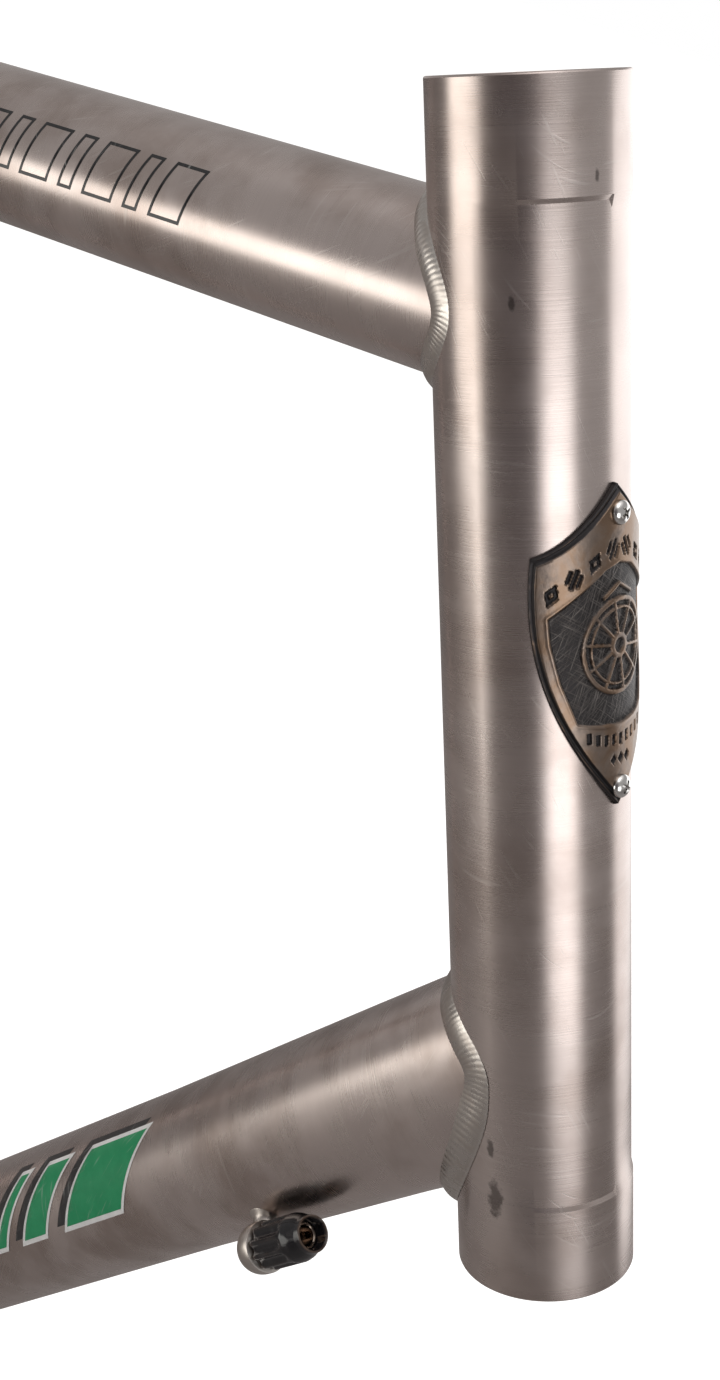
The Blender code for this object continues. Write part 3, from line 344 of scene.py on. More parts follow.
def top_place():
    sizes = settings("tubes")
    back = Vector((-math.cos(sizes.top_slope), 0, -math.sin(sizes.top_slope)))
    return axes(head_top() - sizes.top_drop * HEAD_UP, back)


def down_place():
    return axes(head_foot() + settings("tubes").down_rise * HEAD_UP, DOWN_BACK)


def down_length():
    return (down_place().translation - BRACKET).length


def top_length():
    """Along the top tube's axis to the seat tube's axis."""
    place = top_place()
    back = place.col[2].to_3d()
    across = SEAT_FRONT
    return -place.translation.dot(across) / back.dot(across)


def mix(start, end, share):
    return start + (end - start) * min(max(share, 0.0), 1.0)


def down_section(distance):
    """Half height and half width of the down tube at a distance from the head tube's axis."""
    sizes = settings("tubes")
    head_share = distance / sizes.swages[0]
    bracket_share = (down_length() - distance) / sizes.swages[1]
    if head_share < 1:
        return [mix(size, sizes.down_round, head_share) / 2 for size in sizes.down_head]
    return [mix(size, sizes.down_round, bracket_share) / 2 for size in sizes.down_bracket]


def squared(across, aside, squareness):
    """How far a point of a unit circle moves out when the circle's lower half is squared off."""
    power = 2 + squareness * (1.0 if across < 0 else 0.4)
    return (abs(across) ** power + abs(aside) ** power) ** (-1 / power)


def down_mouth():
    """Half height and half width of the down tube where it is nipped in to meet the head tube."""
    half_height, half_width_here = down_section(0.022)
    return half_height, min(half_width_here, 0.985 * head_skin()[2])


def seatstay_ends(side):
    sizes = settings("stays")
    top = (top_place() @ Vector((0, 0, top_length()))) - sizes.seatstay_drop * SEAT_UP
    aim = (top - REAR_AXLE).normalized()
    start = top + side * sizes.seatstay_y * LEFT
    mid_slot = REAR_AXLE + (sizes.axle_gap + sizes.slot_depth / 2) * aim + side * DROPOUT_Y * LEFT
    return start, mid_slot + sizes.slot_depth / 2 * (mid_slot - start).normalized()


def chainstay_point(side, share):
    """A point of a chainstay's centre line, from the bracket at 0 to the axle's line at 1."""
    sizes = settings("stays")
    swing = min(max((share - sizes.bend[0]) / (sizes.bend[1] - sizes.bend[0]), 0.0), 1.0)
    ease = swing * swing * (3 - 2 * swing)
    y = sizes.chainstay_y + (DROPOUT_Y - sizes.chainstay_y) * ease
    return REAR_AXLE * share + side * y * LEFT


def chainstay_radius(share):
    sizes = settings("stays")
    return mix(sizes.chainstay[0], sizes.chainstay[1], 1.25 * share - 0.25) / 2


def chainstay_place(side, share):
    here, ahead = chainstay_point(side, share - 0.005), chainstay_point(side, share + 0.005)
    return axes(chainstay_point(side, share), ahead - here, UP)


def reach_round(point, direction, blocker):
    """Where a line through a point first touches a round tube, given as (origin, axis, radius)."""
    origin, axis, radius = blocker
    start = point - origin
    start -= start.dot(axis) * axis
    run = direction - direction.dot(axis) * axis
    a, b, c = run.dot(run), 2 * start.dot(run), start.dot(start) - radius * radius
    depth = max(b * b - 4 * a * c, 0.0)
    return point + direction * ((-b - math.sqrt(depth)) / (2 * a))


# ---------------------------------------------------------------- making pieces


def finish_piece(shape, name, materials, replaces=(), body="frame", sharp=35, flip_check=True):
    """Turns a bmesh in place into a finished piece that rides on a body."""
    bmesh.ops.remove_doubles(shape, verts=shape.verts, dist=2e-6)
    bmesh.ops.dissolve_degenerate(shape, dist=1e-7, edges=shape.edges)
    if flip_check:
        bmesh.ops.recalc_face_normals(shape, faces=shape.faces)
    mesh = bpy.data.meshes.new(name)
    shape.to_mesh(mesh)
    shape.free()
    piece = bpy.data.objects.new(name, mesh)
    bpy.context.scene.collection.objects.link(piece)
    for material in materials if isinstance(materials, (list, tuple)) else [materials]:
        mesh.materials.append(material)
    mesh.shade_smooth()
    mesh.set_sharp_from_angle(angle=math.radians(sharp))
    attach(piece, body)
    if replaces:
        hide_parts(*([replaces] if isinstance(replaces, str) else replaces))
    return piece


def turned(shape, place, profile, steps, closed=True):
    """Spins a profile of (radius, height) about a place's Z. A closed one makes a ring."""
    verts = [shape.verts.new(place @ Vector((r, 0, z))) for r, z in profile]
    pairs = list(zip(verts, verts[1:])) + ([(verts[-1], verts[0])] if closed else [])
    edges = [shape.edges.new(pair) for pair in pairs]
    made = bmesh.ops.spin(
        shape, geom=verts + edges, cent=place.translation, axis=place.col[2].to_3d(),
        angle=math.tau, steps=steps, use_merge=True, use_duplicate=False,
    )
    bmesh.ops.remove_doubles(shape, verts=shape.verts, dist=1e-6)
    return made


def swept(shape, rings, sides):
    """A tube through ring matrices, each of which scales a unit circle. Gives the rings of vertices."""
    first = bmesh.ops.create_circle(shape, segments=sides, radius=1, matrix=rings[0])
    verts = first["verts"]
    edges = [e for e in shape.edges if all(v in verts for v in e.verts)]
    loops = [verts]
    for before, after in zip(rings, rings[1:]):
        made = bmesh.ops.extrude_edge_only(shape, edges=edges)["geom"]
        verts = [g for g in made if isinstance(g, bmesh.types.BMVert)]
        edges = [g for g in made if isinstance(g, bmesh.types.BMEdge) and all(v in verts for v in g.verts)]
        bmesh.ops.transform(shape, matrix=after @ before.inverted(), space=Matrix(), verts=verts)
        loops.append(verts)
    return loops


def ring_matrix(place, half_x, half_y=None):
    return place @ Matrix.Diagonal((half_x, half_y or half_x, 1, 1))


def mitre(verts, direction, blocker):
    """Runs each vertex of an end ring along the tube to the surface that blocks it."""
    for vert in verts:
        vert.co = reach_round(vert.co, direction, blocker)


def give_wall(piece, wall):
    """Doubles an open skin inwards, with crisp rims."""
    shape = bmesh.new()
    shape.from_mesh(piece.data)
    bmesh.ops.solidify(shape, geom=shape.faces[:], thickness=wall)
    bmesh.ops.recalc_face_normals(shape, faces=shape.faces)
    for face in shape.faces:
        face.smooth = True
    shape.to_mesh(piece.data)
    shape.free()
    piece.data.set_sharp_from_angle(angle=math.radians(35))
    return piece


def cut(piece, cutters):
    """Cuts a piece with closed shapes, once and for all."""
    tools = []
    for shape in cutters:
        mesh = bpy.data.meshes.new("cutter")
        bmesh.ops.recalc_face_normals(shape, faces=shape.faces)
        shape.to_mesh(mesh)
        shape.free()
        tool = bpy.data.objects.new("cutter", mesh)
        bpy.context.scene.collection.objects.link(tool)
        step = piece.modifiers.new("cut", "BOOLEAN")
        step.operation, step.solver, step.object = "DIFFERENCE", "EXACT", tool
        tools.append(tool)
    bpy.context.view_layer.update()
    made = bpy.data.meshes.new_from_object(piece.evaluated_get(bpy.context.evaluated_depsgraph_get()))
    piece.modifiers.clear()
    made.name = piece.name
    piece.data = made
    for tool in tools:
        bpy.data.objects.remove(tool, do_unlink=True)
    return piece


def rod(place, radius, low, high, sides=32):
    shape = bmesh.new()
    centre = place @ Matrix.Translation((0, 0, (low + high) / 2))
    bmesh.ops.create_cone(
        shape, cap_ends=True, segments=sides, radius1=radius, radius2=radius, depth=high - low, matrix=centre
    )
    return shape


def brick(place, size, centre=(0, 0, 0)):
    shape = bmesh.new()
    bmesh.ops.create_cube(shape, size=1, matrix=place @ Matrix.Translation(centre) @ Matrix.Diagonal((*size, 1)))
    return shape


def dome(radius, height, steps, base=0.0):
    """Profile points from the crown of a dome down to its edge."""
    return [(radius * math.sin(a), base + height * math.cos(a)) for a in quarter(steps)]


def quarter(steps):
    return [math.pi / 2 * k / steps for k in range(steps + 1)]


def refined(node, name, material, width, segments=2):
    """A CAD node's own shape with its edges rounded."""
    shape = bmesh.new()
    shape.from_mesh(frame["nodes"][node].data)
    bmesh.ops.remove_doubles(shape, verts=shape.verts, dist=2e-6)
    bmesh.ops.dissolve_limit(
        shape, angle_limit=math.radians(1), use_dissolve_boundaries=False, verts=shape.verts, edges=shape.edges
    )
    sharp = [e for e in shape.edges if e.is_manifold and e.calc_face_angle(0) > math.radians(32)]
    bmesh.ops.bevel(
        shape, geom=sharp, offset=width, offset_type="OFFSET", segments=segments, profile=0.5,
        affect="EDGES", clamp_overlap=True, material=-1,
    )
    return finish_piece(shape, name, material, replaces=node)


# ---------------------------------------------------------------- material groups


def new_group(name, inputs, outputs):
    """An empty shader group. Inputs and outputs are (name, socket type, default)."""
    group = bpy.data.node_groups.new(name, "ShaderNodeTree")
    for label, kind, default in inputs:
        socket = group.interface.new_socket(label, in_out="INPUT", socket_type="NodeSocket" + kind)
        if default is not None:
            socket.default_value = default
    for label, kind in outputs:
        group.interface.new_socket(label, in_out="OUTPUT", socket_type="NodeSocket" + kind)
    return group, group.nodes.new("NodeGroupInput"), group.nodes.new("NodeGroupOutput")


class Wiring:
    """Short calls for adding and linking nodes in one tree."""

    def __init__(self, tree):
        self.tree = tree

    def put(self, socket, value):
        if isinstance(value, bpy.types.NodeSocket):
            self.tree.links.new(value, socket)
        else:
            socket.default_value = value

    def node(self, kind, inputs=None, **settings_of):
        made = self.tree.nodes.new("ShaderNode" + kind)
        for key, value in settings_of.items():
            setattr(made, key, value)
        for key, value in (inputs or {}).items():
            self.put(made.inputs[key], value)
        return made

    def math(self, operation, a, b=0.0, c=None, clamp=False):
        made = self.node("Math", operation=operation, use_clamp=clamp)
        self.put(made.inputs[0], a)
        self.put(made.inputs[1], b)
        if c is not None:
            self.put(made.inputs[2], c)
        return made.outputs[0]

    def noise(self, vector, scale, detail=3.0, rough=0.5, distortion=0.0):
        made = self.node(
            "TexNoise",
            {"Vector": vector, "Scale": scale, "Detail": detail, "Roughness": rough, "Distortion": distortion},
        )
        return made.outputs["Fac"]

    def stretch(self, vector, scale, rotation=(0, 0, 0)):
        return self.node("Mapping", {"Vector": vector, "Scale": scale, "Rotation": rotation}).outputs[0]

    def ramp(self, value, low, high, to_low=0.0, to_high=1.0, smooth=True):
        made = self.node(
            "MapRange", {"Value": value, "From Min": low, "From Max": high, "To Min": to_low, "To Max": to_high},
            interpolation_type="SMOOTHSTEP" if smooth else "LINEAR",
        )
        return made.outputs["Result"]

    def blend(self, share, a, b, kind="MIX"):
        made = self.node("Mix", data_type="RGBA", blend_type=kind)
        self.put(made.inputs[0], share)
        self.put(made.inputs[6], a)
        self.put(made.inputs[7], b)
        return made.outputs[2]


def brushed_group():
    """Fine lines round local Z, as an abrasive belt leaves them."""
    group, given, out = new_group(
        "brushed lines",
        [("Vector", "Vector", None), ("Line scale", "Float", 1.0)],
        [("Lines", "Float"), ("Patches", "Float")],
    )
    w = Wiring(group)
    v = given.outputs["Vector"]
    fine = w.noise(w.stretch(v, (35, 35, 5200)), 1.0, 2.0, 0.6)
    coarse = w.noise(w.stretch(v, (14, 14, 1500)), 1.0, 2.0, 0.6)
    lines = w.math("ADD", w.math("MULTIPLY", fine, 0.68), w.math("MULTIPLY", coarse, 0.32))
    w.put(out.inputs["Lines"], w.math("MULTIPLY", lines, given.outputs["Line scale"]))
    cloud = w.noise(w.stretch(v, (55, 55, 80)), 1.0, 3.0, 0.5, 0.2)
    w.put(out.inputs["Patches"], w.ramp(cloud, 0.32, 0.7))
    return group


def handling_group():
    """Brownish handling stains and cloudy sheen."""
    group, given, out = new_group(
        "handling stains",
        [("Vector", "Vector", None), ("Amount", "Float", 1.0)],
        [("Stain", "Float"), ("Sheen", "Float")],
    )
    w = Wiring(group)
    v = given.outputs["Vector"]
    large = w.noise(v, 24.0, 3.0, 0.5, 0.4)
    small = w.noise(v, 130.0, 3.0, 0.55, 0.2)
    both = w.math("ADD", w.math("MULTIPLY", large, 0.75), w.math("MULTIPLY", small, 0.25))
    w.put(out.inputs["Stain"], w.math("MULTIPLY", w.ramp(both, 0.42, 0.62), given.outputs["Amount"]))
    w.put(out.inputs["Sheen"], w.ramp(w.noise(v, 60.0, 3.0, 0.5, 0.3), 0.3, 0.75))
    return group


def scratches_group():
    """A few long fine scratches and swirls that cross the brushing."""
    group, given, out = new_group(
        "fine scratches", [("Vector", "Vector", None), ("Amount", "Float", 1.0)], [("Scratches", "Float")]
    )
    w = Wiring(group)
    v = given.outputs["Vector"]
    total = None
    for turn, scale, seed in ((0.5, 900, 0.0), (-0.9, 1150, 3.1), (1.35, 800, 7.7)):
        placed = w.node("Mapping", {"Vector": v, "Location": (seed, seed, seed), "Rotation": (turn, turn * 0.6, turn)})
        thin = w.noise(w.stretch(placed.outputs[0], (scale * 2.6, scale * 0.1, scale * 0.07)), 1.0, 0.0, 0.5, 0.25)
        where = w.ramp(w.noise(placed.outputs[0], 70.0, 2.0), 0.52, 0.64)
        line = w.math("MULTIPLY", w.ramp(thin, 0.70, 0.80), where)
        total = line if total is None else w.math("MAXIMUM", total, line)
    w.put(out.inputs["Scratches"], w.math("MULTIPLY", total, given.outputs["Amount"]))
    return group


def edge_wear_and_hollow_shade_group():
    """Rubbed bright edges, which are wear, and painted shade that darkens the hollows, both from the surface's own
    curvature.
    """
    group, given, out = new_group("edge wear and hollow shade", [("Vector", "Vector", None)], [("Worn", "Float"), ("Hollow shade", "Float")])
    w = Wiring(group)
    point = w.node("NewGeometry").outputs["Pointiness"]
    broken = w.math("MULTIPLY", w.noise(given.outputs["Vector"], 420.0, 3.0), 0.04)
    w.put(out.inputs["Worn"], w.ramp(w.math("ADD", point, broken), 0.535, 0.60))
    # second output: painted shade, a mask that darkens the colour in hollows and creases
    w.put(out.inputs["Hollow shade"], w.ramp(w.math("SUBTRACT", point, broken), 0.44, 0.47, 1.0, 0.0))
    return group


GROUP_MAKERS = {
    "brushed": brushed_group,
    "handling": handling_group,
    "scratches": scratches_group,
    "edges": edge_wear_and_hollow_shade_group,
}
GROUPS = {}


def shared(kind):
    if kind not in GROUPS:
        GROUPS[kind] = GROUP_MAKERS[kind]()
    return GROUPS[kind]


class Finish(Wiring):
    """A material under construction: its tree, its shader and its pattern space."""

    def __init__(self, name, metallic=1.0, roughness=0.3, place=None):
        self.material = bpy.data.materials.new(name)
        self.material.use_nodes = True
        super().__init__(self.material.node_tree)
        self.shader = self.tree.nodes["Principled BSDF"]
        self.shader.inputs["Metallic"].default_value = metallic
        self.shader.inputs["Roughness"].default_value = roughness
        own = self.node("TexCoord").outputs["Object"]
        turn = (place or Matrix()).inverted()
        self.vector = self.node(
            "Mapping", {"Vector": own, "Location": turn.translation, "Rotation": turn.to_euler()}
        ).outputs[0]

    def group(self, kind, **inputs):
        made = self.tree.nodes.new("ShaderNodeGroup")
        made.node_tree = shared(kind)
        self.put(made.inputs["Vector"], self.vector)
        for key, value in inputs.items():
            self.put(made.inputs[key.replace("_", " ")], value)
        return made.outputs

    def to(self, name, value):
        self.put(self.shader.inputs[name], value)

    def bump(self, height, strength, distance):
        made = self.node("Bump", {"Height": height, "Strength": strength, "Distance": distance})
        self.to("Normal", made.outputs[0])


def titanium(name, place, stain=1.0, shade=1.0, marks=(), lines=1.0):
    """Belt-brushed titanium whose lines run round the place's Z. Marks are (local point, radius) smudges."""
    look = settings("finish")
    f = Finish(name, 1.0, look.roughness, place)
    brushed = f.group("brushed", Line_scale=1.0)
    stains = f.group("handling", Amount=stain)
    scratches = f.group("scratches", Amount=0.55)["Scratches"]
    base = [c * shade for c in look.titanium] + [1]
    brown = [c * shade for c in look.stain] + [1]
    colour = f.blend(f.math("MULTIPLY", stains["Stain"], 0.7), base, brown)
    colour = f.blend(f.math("MULTIPLY", brushed["Patches"], 0.30), colour, [c * 1.18 for c in base[:3]] + [1])
    grey = f.math("MULTIPLY_ADD", brushed["Lines"], 0.16 * lines, 1.0 - 0.08 * lines)
    shaded = f.node("CombineColor")
    for channel in ("Red", "Green", "Blue"):
        f.put(shaded.inputs[channel], grey)
    colour = f.blend(1.0, colour, shaded.outputs[0], "MULTIPLY")
    colour = f.blend(f.math("MULTIPLY", scratches, 0.3), colour, (0.75, 0.72, 0.69, 1))
    for point, radius in marks:
        apart = f.node("VectorMath", operation="DISTANCE")
        squeeze = Vector((1, 1, 0.42))
        f.put(apart.inputs[0], f.stretch(f.vector, squeeze))
        f.put(apart.inputs[1], Vector(point) * squeeze)
        ragged = f.math("MULTIPLY_ADD", f.noise(f.vector, 480.0, 3.0, 0.7), radius * 1.6, -radius * 0.8)
        spot = f.ramp(f.math("ADD", apart.outputs["Value"], ragged), radius * 0.45, radius, 0.72, 0.0)
        colour = f.blend(spot, colour, (0.10, 0.085, 0.08, 1))
    f.to("Base Color", colour)
    rough = f.math("MULTIPLY_ADD", stains["Sheen"], 0.06, look.roughness - 0.03)
    rough = f.math("MULTIPLY_ADD", brushed["Lines"], 0.10, f.math("SUBTRACT", rough, 0.05))
    rough = f.math("MULTIPLY_ADD", scratches, 0.08, rough)
    f.to("Roughness", rough)
    height = f.math("SUBTRACT", brushed["Lines"], f.math("MULTIPLY", scratches, 0.6))
    f.bump(height, 0.11, 0.00012)
    return f.material


def weld_titanium(name):
    """Weld metal: cleaner and brighter than the brushed tubes, a little tinted by heat at its toes."""
    f = Finish(name, 1.0, 0.27)
    edges = f.group("edges")
    tint = f.noise(f.vector, 240.0, 3.0, 0.6, 0.8)
    colour = f.blend(f.ramp(tint, 0.4, 0.7, 0.0, 0.6), (0.54, 0.50, 0.465, 1), (0.44, 0.385, 0.345, 1))
    # painted shade: the hollows between the ripples are darkened in the colour
    colour = f.blend(f.math("MULTIPLY", edges["Hollow shade"], 0.65), colour, (0.14, 0.12, 0.11, 1))
    colour = f.blend(f.math("MULTIPLY", edges["Worn"], 0.3), colour, (0.72, 0.69, 0.66, 1))
    f.to("Base Color", colour)
    f.to("Roughness", f.ramp(tint, 0.3, 0.7, 0.24, 0.34))
    f.bump(f.noise(f.vector, 2600.0, 2.0), 0.15, 0.00008)
    return f.material


def machined_titanium(name, place):
    """Turned fittings: bright, with fine lathe lines."""
    f = Finish(name, 1.0, 0.26, place)
    brushed = f.group("brushed", Line_scale=1.0)
    stains = f.group("handling", Amount=0.7)
    edges = f.group("edges")
    colour = f.blend(f.math("MULTIPLY", stains["Stain"], 0.7), (0.56, 0.52, 0.485, 1), (0.40, 0.345, 0.30, 1))
    colour = f.blend(f.math("MULTIPLY", edges["Worn"], 0.4), colour, (0.78, 0.75, 0.72, 1))
    # painted shade: hollows and creases are darkened in the colour
    colour = f.blend(f.math("MULTIPLY", edges["Hollow shade"], 0.5), colour, (0.16, 0.14, 0.13, 1))
    f.to("Base Color", colour)
    f.to("Roughness", f.math("MULTIPLY_ADD", brushed["Lines"], 0.14, 0.25))
    f.bump(brushed["Lines"], 0.12, 0.0001)
    return f.material


def polished_steel(name, tint=(0.74, 0.73, 0.71)):
    f = Finish(name, 1.0, 0.16)
    edges = f.group("edges")
    scratches = f.group("scratches", Amount=1.0)["Scratches"]
    spots = f.ramp(f.noise(f.vector, 900.0, 3.0, 0.7), 0.58, 0.72)
    colour = f.blend(f.math("MULTIPLY", spots, 0.35), (*tint, 1), (0.36, 0.33, 0.30, 1))
    # painted shade: recesses such as the cross-head slots are darkened almost to black in the colour
    colour = f.blend(f.math("MULTIPLY", edges["Hollow shade"], 0.8), colour, (0.05, 0.045, 0.04, 1))
    f.to("Base Color", colour)
    f.to("Roughness", f.math("MULTIPLY_ADD", scratches, 0.2, f.math("MULTIPLY_ADD", spots, 0.15, 0.13)))
    f.bump(f.noise(f.vector, 1500.0, 2.0), 0.05, 0.0001)
    return f.material


def cast_bronze(name):
    """Antiqued casting: the 'relief' attribute is 0 in the hollows and 1 on the rubbed faces."""
    look = settings("badge")
    f = Finish(name, 1.0, 0.4, axes(head_foot(), HEAD_UP))
    relief = f.node("Attribute", attribute_name="relief").outputs["Fac"]
    field = f.node("Attribute", attribute_name="field").outputs["Fac"]
    grain = f.noise(f.vector, 620.0, 4.0, 0.65)
    blotch = f.noise(f.vector, 160.0, 4.0, 0.6, 0.7)
    worn = f.math("MULTIPLY_ADD", f.math("SUBTRACT", blotch, 0.5), 0.9, relief, clamp=True)
    worn = f.math("MULTIPLY_ADD", f.math("SUBTRACT", grain, 0.5), 0.5, worn, clamp=True)
    bright = [*look.bronze, 1]
    warm = [look.bronze[0] * 0.82, look.bronze[1] * 0.70, look.bronze[2] * 0.58, 1]
    metal = f.blend(f.ramp(blotch, 0.35, 0.62), bright, warm)
    colour = f.blend(f.ramp(worn, 0.25, 0.85), [*look.patina, 1], metal)
    hatch = None
    for turn in (0.62, -0.75, 1.9):
        placed = f.node("Mapping", {"Vector": f.vector, "Rotation": (turn, 0, 0)}).outputs[0]
        fine = f.noise(f.stretch(placed, (60, 110, 3600)), 1.0, 2.0, 0.6, 0.25)
        hatch = fine if hatch is None else f.math("MAXIMUM", hatch, fine)
    lines = f.math("MULTIPLY", f.ramp(hatch, 0.50, 0.74), field)
    colour = f.blend(f.math("MULTIPLY", lines, 0.75), colour, (0.235, 0.215, 0.20, 1))
    f.to("Base Color", colour)
    f.to("Roughness", f.ramp(worn, 0.2, 0.9, 0.50, 0.30))
    height = f.math("ADD", f.math("MULTIPLY", lines, 0.7), f.math("MULTIPLY", grain, 0.5))
    f.bump(height, 0.55, 0.00018)
    return f.material


def plastic(name, colour=(0.007, 0.0065, 0.008), roughness=0.11, worn=(0.13, 0.085, 0.06)):
    """Glossy moulded plastic, dusty in patches and rubbed brown at its edges."""
    f = Finish(name, 0.0, roughness)
    edges = f.group("edges")
    dust = f.noise(f.vector, 380.0, 4.0, 0.65)
    tinted = f.blend(f.ramp(dust, 0.45, 0.75, 0.0, 0.45), (*colour, 1), (0.035, 0.032, 0.033, 1))
    tinted = f.blend(f.math("MULTIPLY", edges["Worn"], 0.55), tinted, (*worn, 1))
    f.to("Base Color", tinted)
    f.to("Roughness", f.ramp(dust, 0.45, 0.75, roughness - 0.03, roughness + 0.14))
    f.bump(f.noise(f.vector, 1300.0, 3.0), 0.12, 0.0001)
    return f.material


def brass(name):
    f = Finish(name, 1.0, 0.3)
    edges = f.group("edges")
    dull = f.noise(f.vector, 500.0, 4.0, 0.6)
    colour = f.blend(f.ramp(dull, 0.4, 0.7), (0.62, 0.46, 0.24, 1), (0.28, 0.19, 0.12, 1))
    # painted shade: thread roots and other hollows are darkened almost to black in the colour
    colour = f.blend(f.math("MULTIPLY", edges["Hollow shade"], 0.8), colour, (0.05, 0.04, 0.03, 1))
    f.to("Base Color", colour)
    f.to("Roughness", f.ramp(dull, 0.3, 0.7, 0.22, 0.42))
    return f.material


def anodised(name):
    """Satin silver collar alloy."""
    f = Finish(name, 1.0, 0.36)
    edges = f.group("edges")
    cloud = f.noise(f.vector, 200.0, 3.0)
    colour = f.blend(f.ramp(cloud, 0.4, 0.7, 0.0, 0.3), (0.60, 0.595, 0.59, 1), (0.45, 0.44, 0.43, 1))
    colour = f.blend(f.math("MULTIPLY", edges["Worn"], 0.5), colour, (0.85, 0.84, 0.83, 1))
    f.to("Base Color", colour)
    f.to("Roughness", f.ramp(cloud, 0.3, 0.7, 0.30, 0.42))
    f.bump(f.noise(f.vector, 2400.0, 2.0), 0.1, 0.0001)
    return f.material


def film(name, colour, place):
    """A printed decal film: satin, with fine rubs along its colour."""
    f = Finish(name, 0.0, 0.34, place)
    scratches = f.group("scratches", Amount=1.0)["Scratches"]
    shade = f.noise(f.vector, 220.0, 3.0, 0.6)
    paler = [min(c * 1.25 + 0.02, 1.0) for c in colour]
    tinted = f.blend(f.ramp(shade, 0.35, 0.75, 0.0, 0.4), (*colour, 1), (*paler, 1))
    tinted = f.blend(f.math("MULTIPLY", scratches, 0.3), tinted, (0.6, 0.6, 0.58, 1))
    f.to("Base Color", tinted)
    f.to("Roughness", f.math("MULTIPLY_ADD", scratches, 0.25, 0.30))
    f.bump(shade, 0.05, 0.0001)
    return f.material


MATERIALS = {}


def once(maker, name, *values):
    """Makes a material the first time that its name is asked for."""
    if name not in MATERIALS:
        MATERIALS[name] = maker(name, *values)
    return MATERIALS[name]


# ---------------------------------------------------------------- operators: tubes


class ROADFRAME_OT_head_tube(bpy.types.Operator):
    """Turn the head tube, with a full-diameter ring at each end of its relieved middle"""

    bl_idname = "road_frame.head_tube"
    bl_label = "Head Tube"

    def execute(self, context):
        sizes = settings("tubes")
        radius, bore = half_width("head_tube"), sizes.head_bore / 2
        height = (head_top() - head_foot()).length
        relief, ring, slope = radius - sizes.relief, sizes.ring, sizes.ring + sizes.ring_step
        edge = 0.0004
        middle = [height - slope + k * (2 * slope - height) / 24 for k in range(25)]
        outside = [
            (radius - edge, height),
            (radius - edge * 0.3, height - edge * 0.3),
            (radius, height - edge),
            (radius, height - ring),
            *[(relief, z) for z in middle],
            (radius, ring),
            (radius, edge),
            (radius - edge * 0.3, edge * 0.3),
            (radius - edge, 0),
        ]
        inside = [(bore + edge, 0), (bore, edge), (bore, height - edge), (bore + edge, height)]
        place = axes(head_foot(), HEAD_UP)
        shape = bmesh.new()
        turned(shape, place, outside + inside, 192)
        back, foot = place.inverted(), head_foot()
        for vert in shape.verts:
            here = back @ vert.co
            if not slope - 1e-6 < here.z < height - slope + 1e-6 or here.xy.length < relief - 1e-6:
                continue
            outward = vert.co - foot
            outward = (outward - outward.dot(HEAD_UP) * HEAD_UP).normalized()
            depth = relief_depth(outward)
            vert.co += (sizes.relief - depth) * outward
            if abs(abs(here.z - height / 2) - (height / 2 - slope)) < 1e-6:
                end = math.copysign(1, here.z - height / 2)
                vert.co += end * (sizes.ring_step - max(depth * 4.2, 0.0003)) * HEAD_UP
        marks = [
            (Vector((0.0015, -0.0190, 0.0228)), 0.0021),
            (Vector((0.0005, -0.0190, 0.0345)), 0.0012),
            (Vector((0.0185, -0.0045, height - 0.0180)), 0.0006),
            (Vector((0.0183, -0.0052, height - 0.0262)), 0.0005),
            (Vector((0.0085, -0.0170, height - 0.0395)), 0.0008),
        ]
        finish = titanium("head_tube_titanium", place, 0.75, 1.0, marks)
        finish_piece(shape, "head_tube_turned", finish, "head_tube", sharp=20)
        return {"FINISHED"}


def relief_depth(outward):
    """How far the middle of the head tube is turned down in a direction: nothing at the rear."""
    sizes = settings("tubes")
    facing = max((outward.dot(HEAD_FRONT) - 0.14 * outward.y - 0.2) / 0.8, 0.0)
    return 0.00001 + (sizes.relief + sizes.relief_shift) * facing**0.9


def head_skin():
    """The rear of the head tube, where the other tubes run in, as (origin, axis, radius)."""
    return head_foot(), HEAD_UP, half_width("head_tube") - 0.00001


def head_blocker():
    """The relieved front of the head tube as (origin, axis, radius)."""
    sizes = settings("tubes")
    origin = head_foot() - sizes.relief_shift * HEAD_FRONT
    return origin, HEAD_UP, half_width("head_tube") - sizes.relief


def seat_blocker():
    return BRACKET, SEAT_UP, settings("tubes").seat_outside / 2


def shell_blocker():
    box_low, box_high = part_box("bottom_bracket_shell")
    return BRACKET, LEFT, (box_high.z - box_low.z) / 2


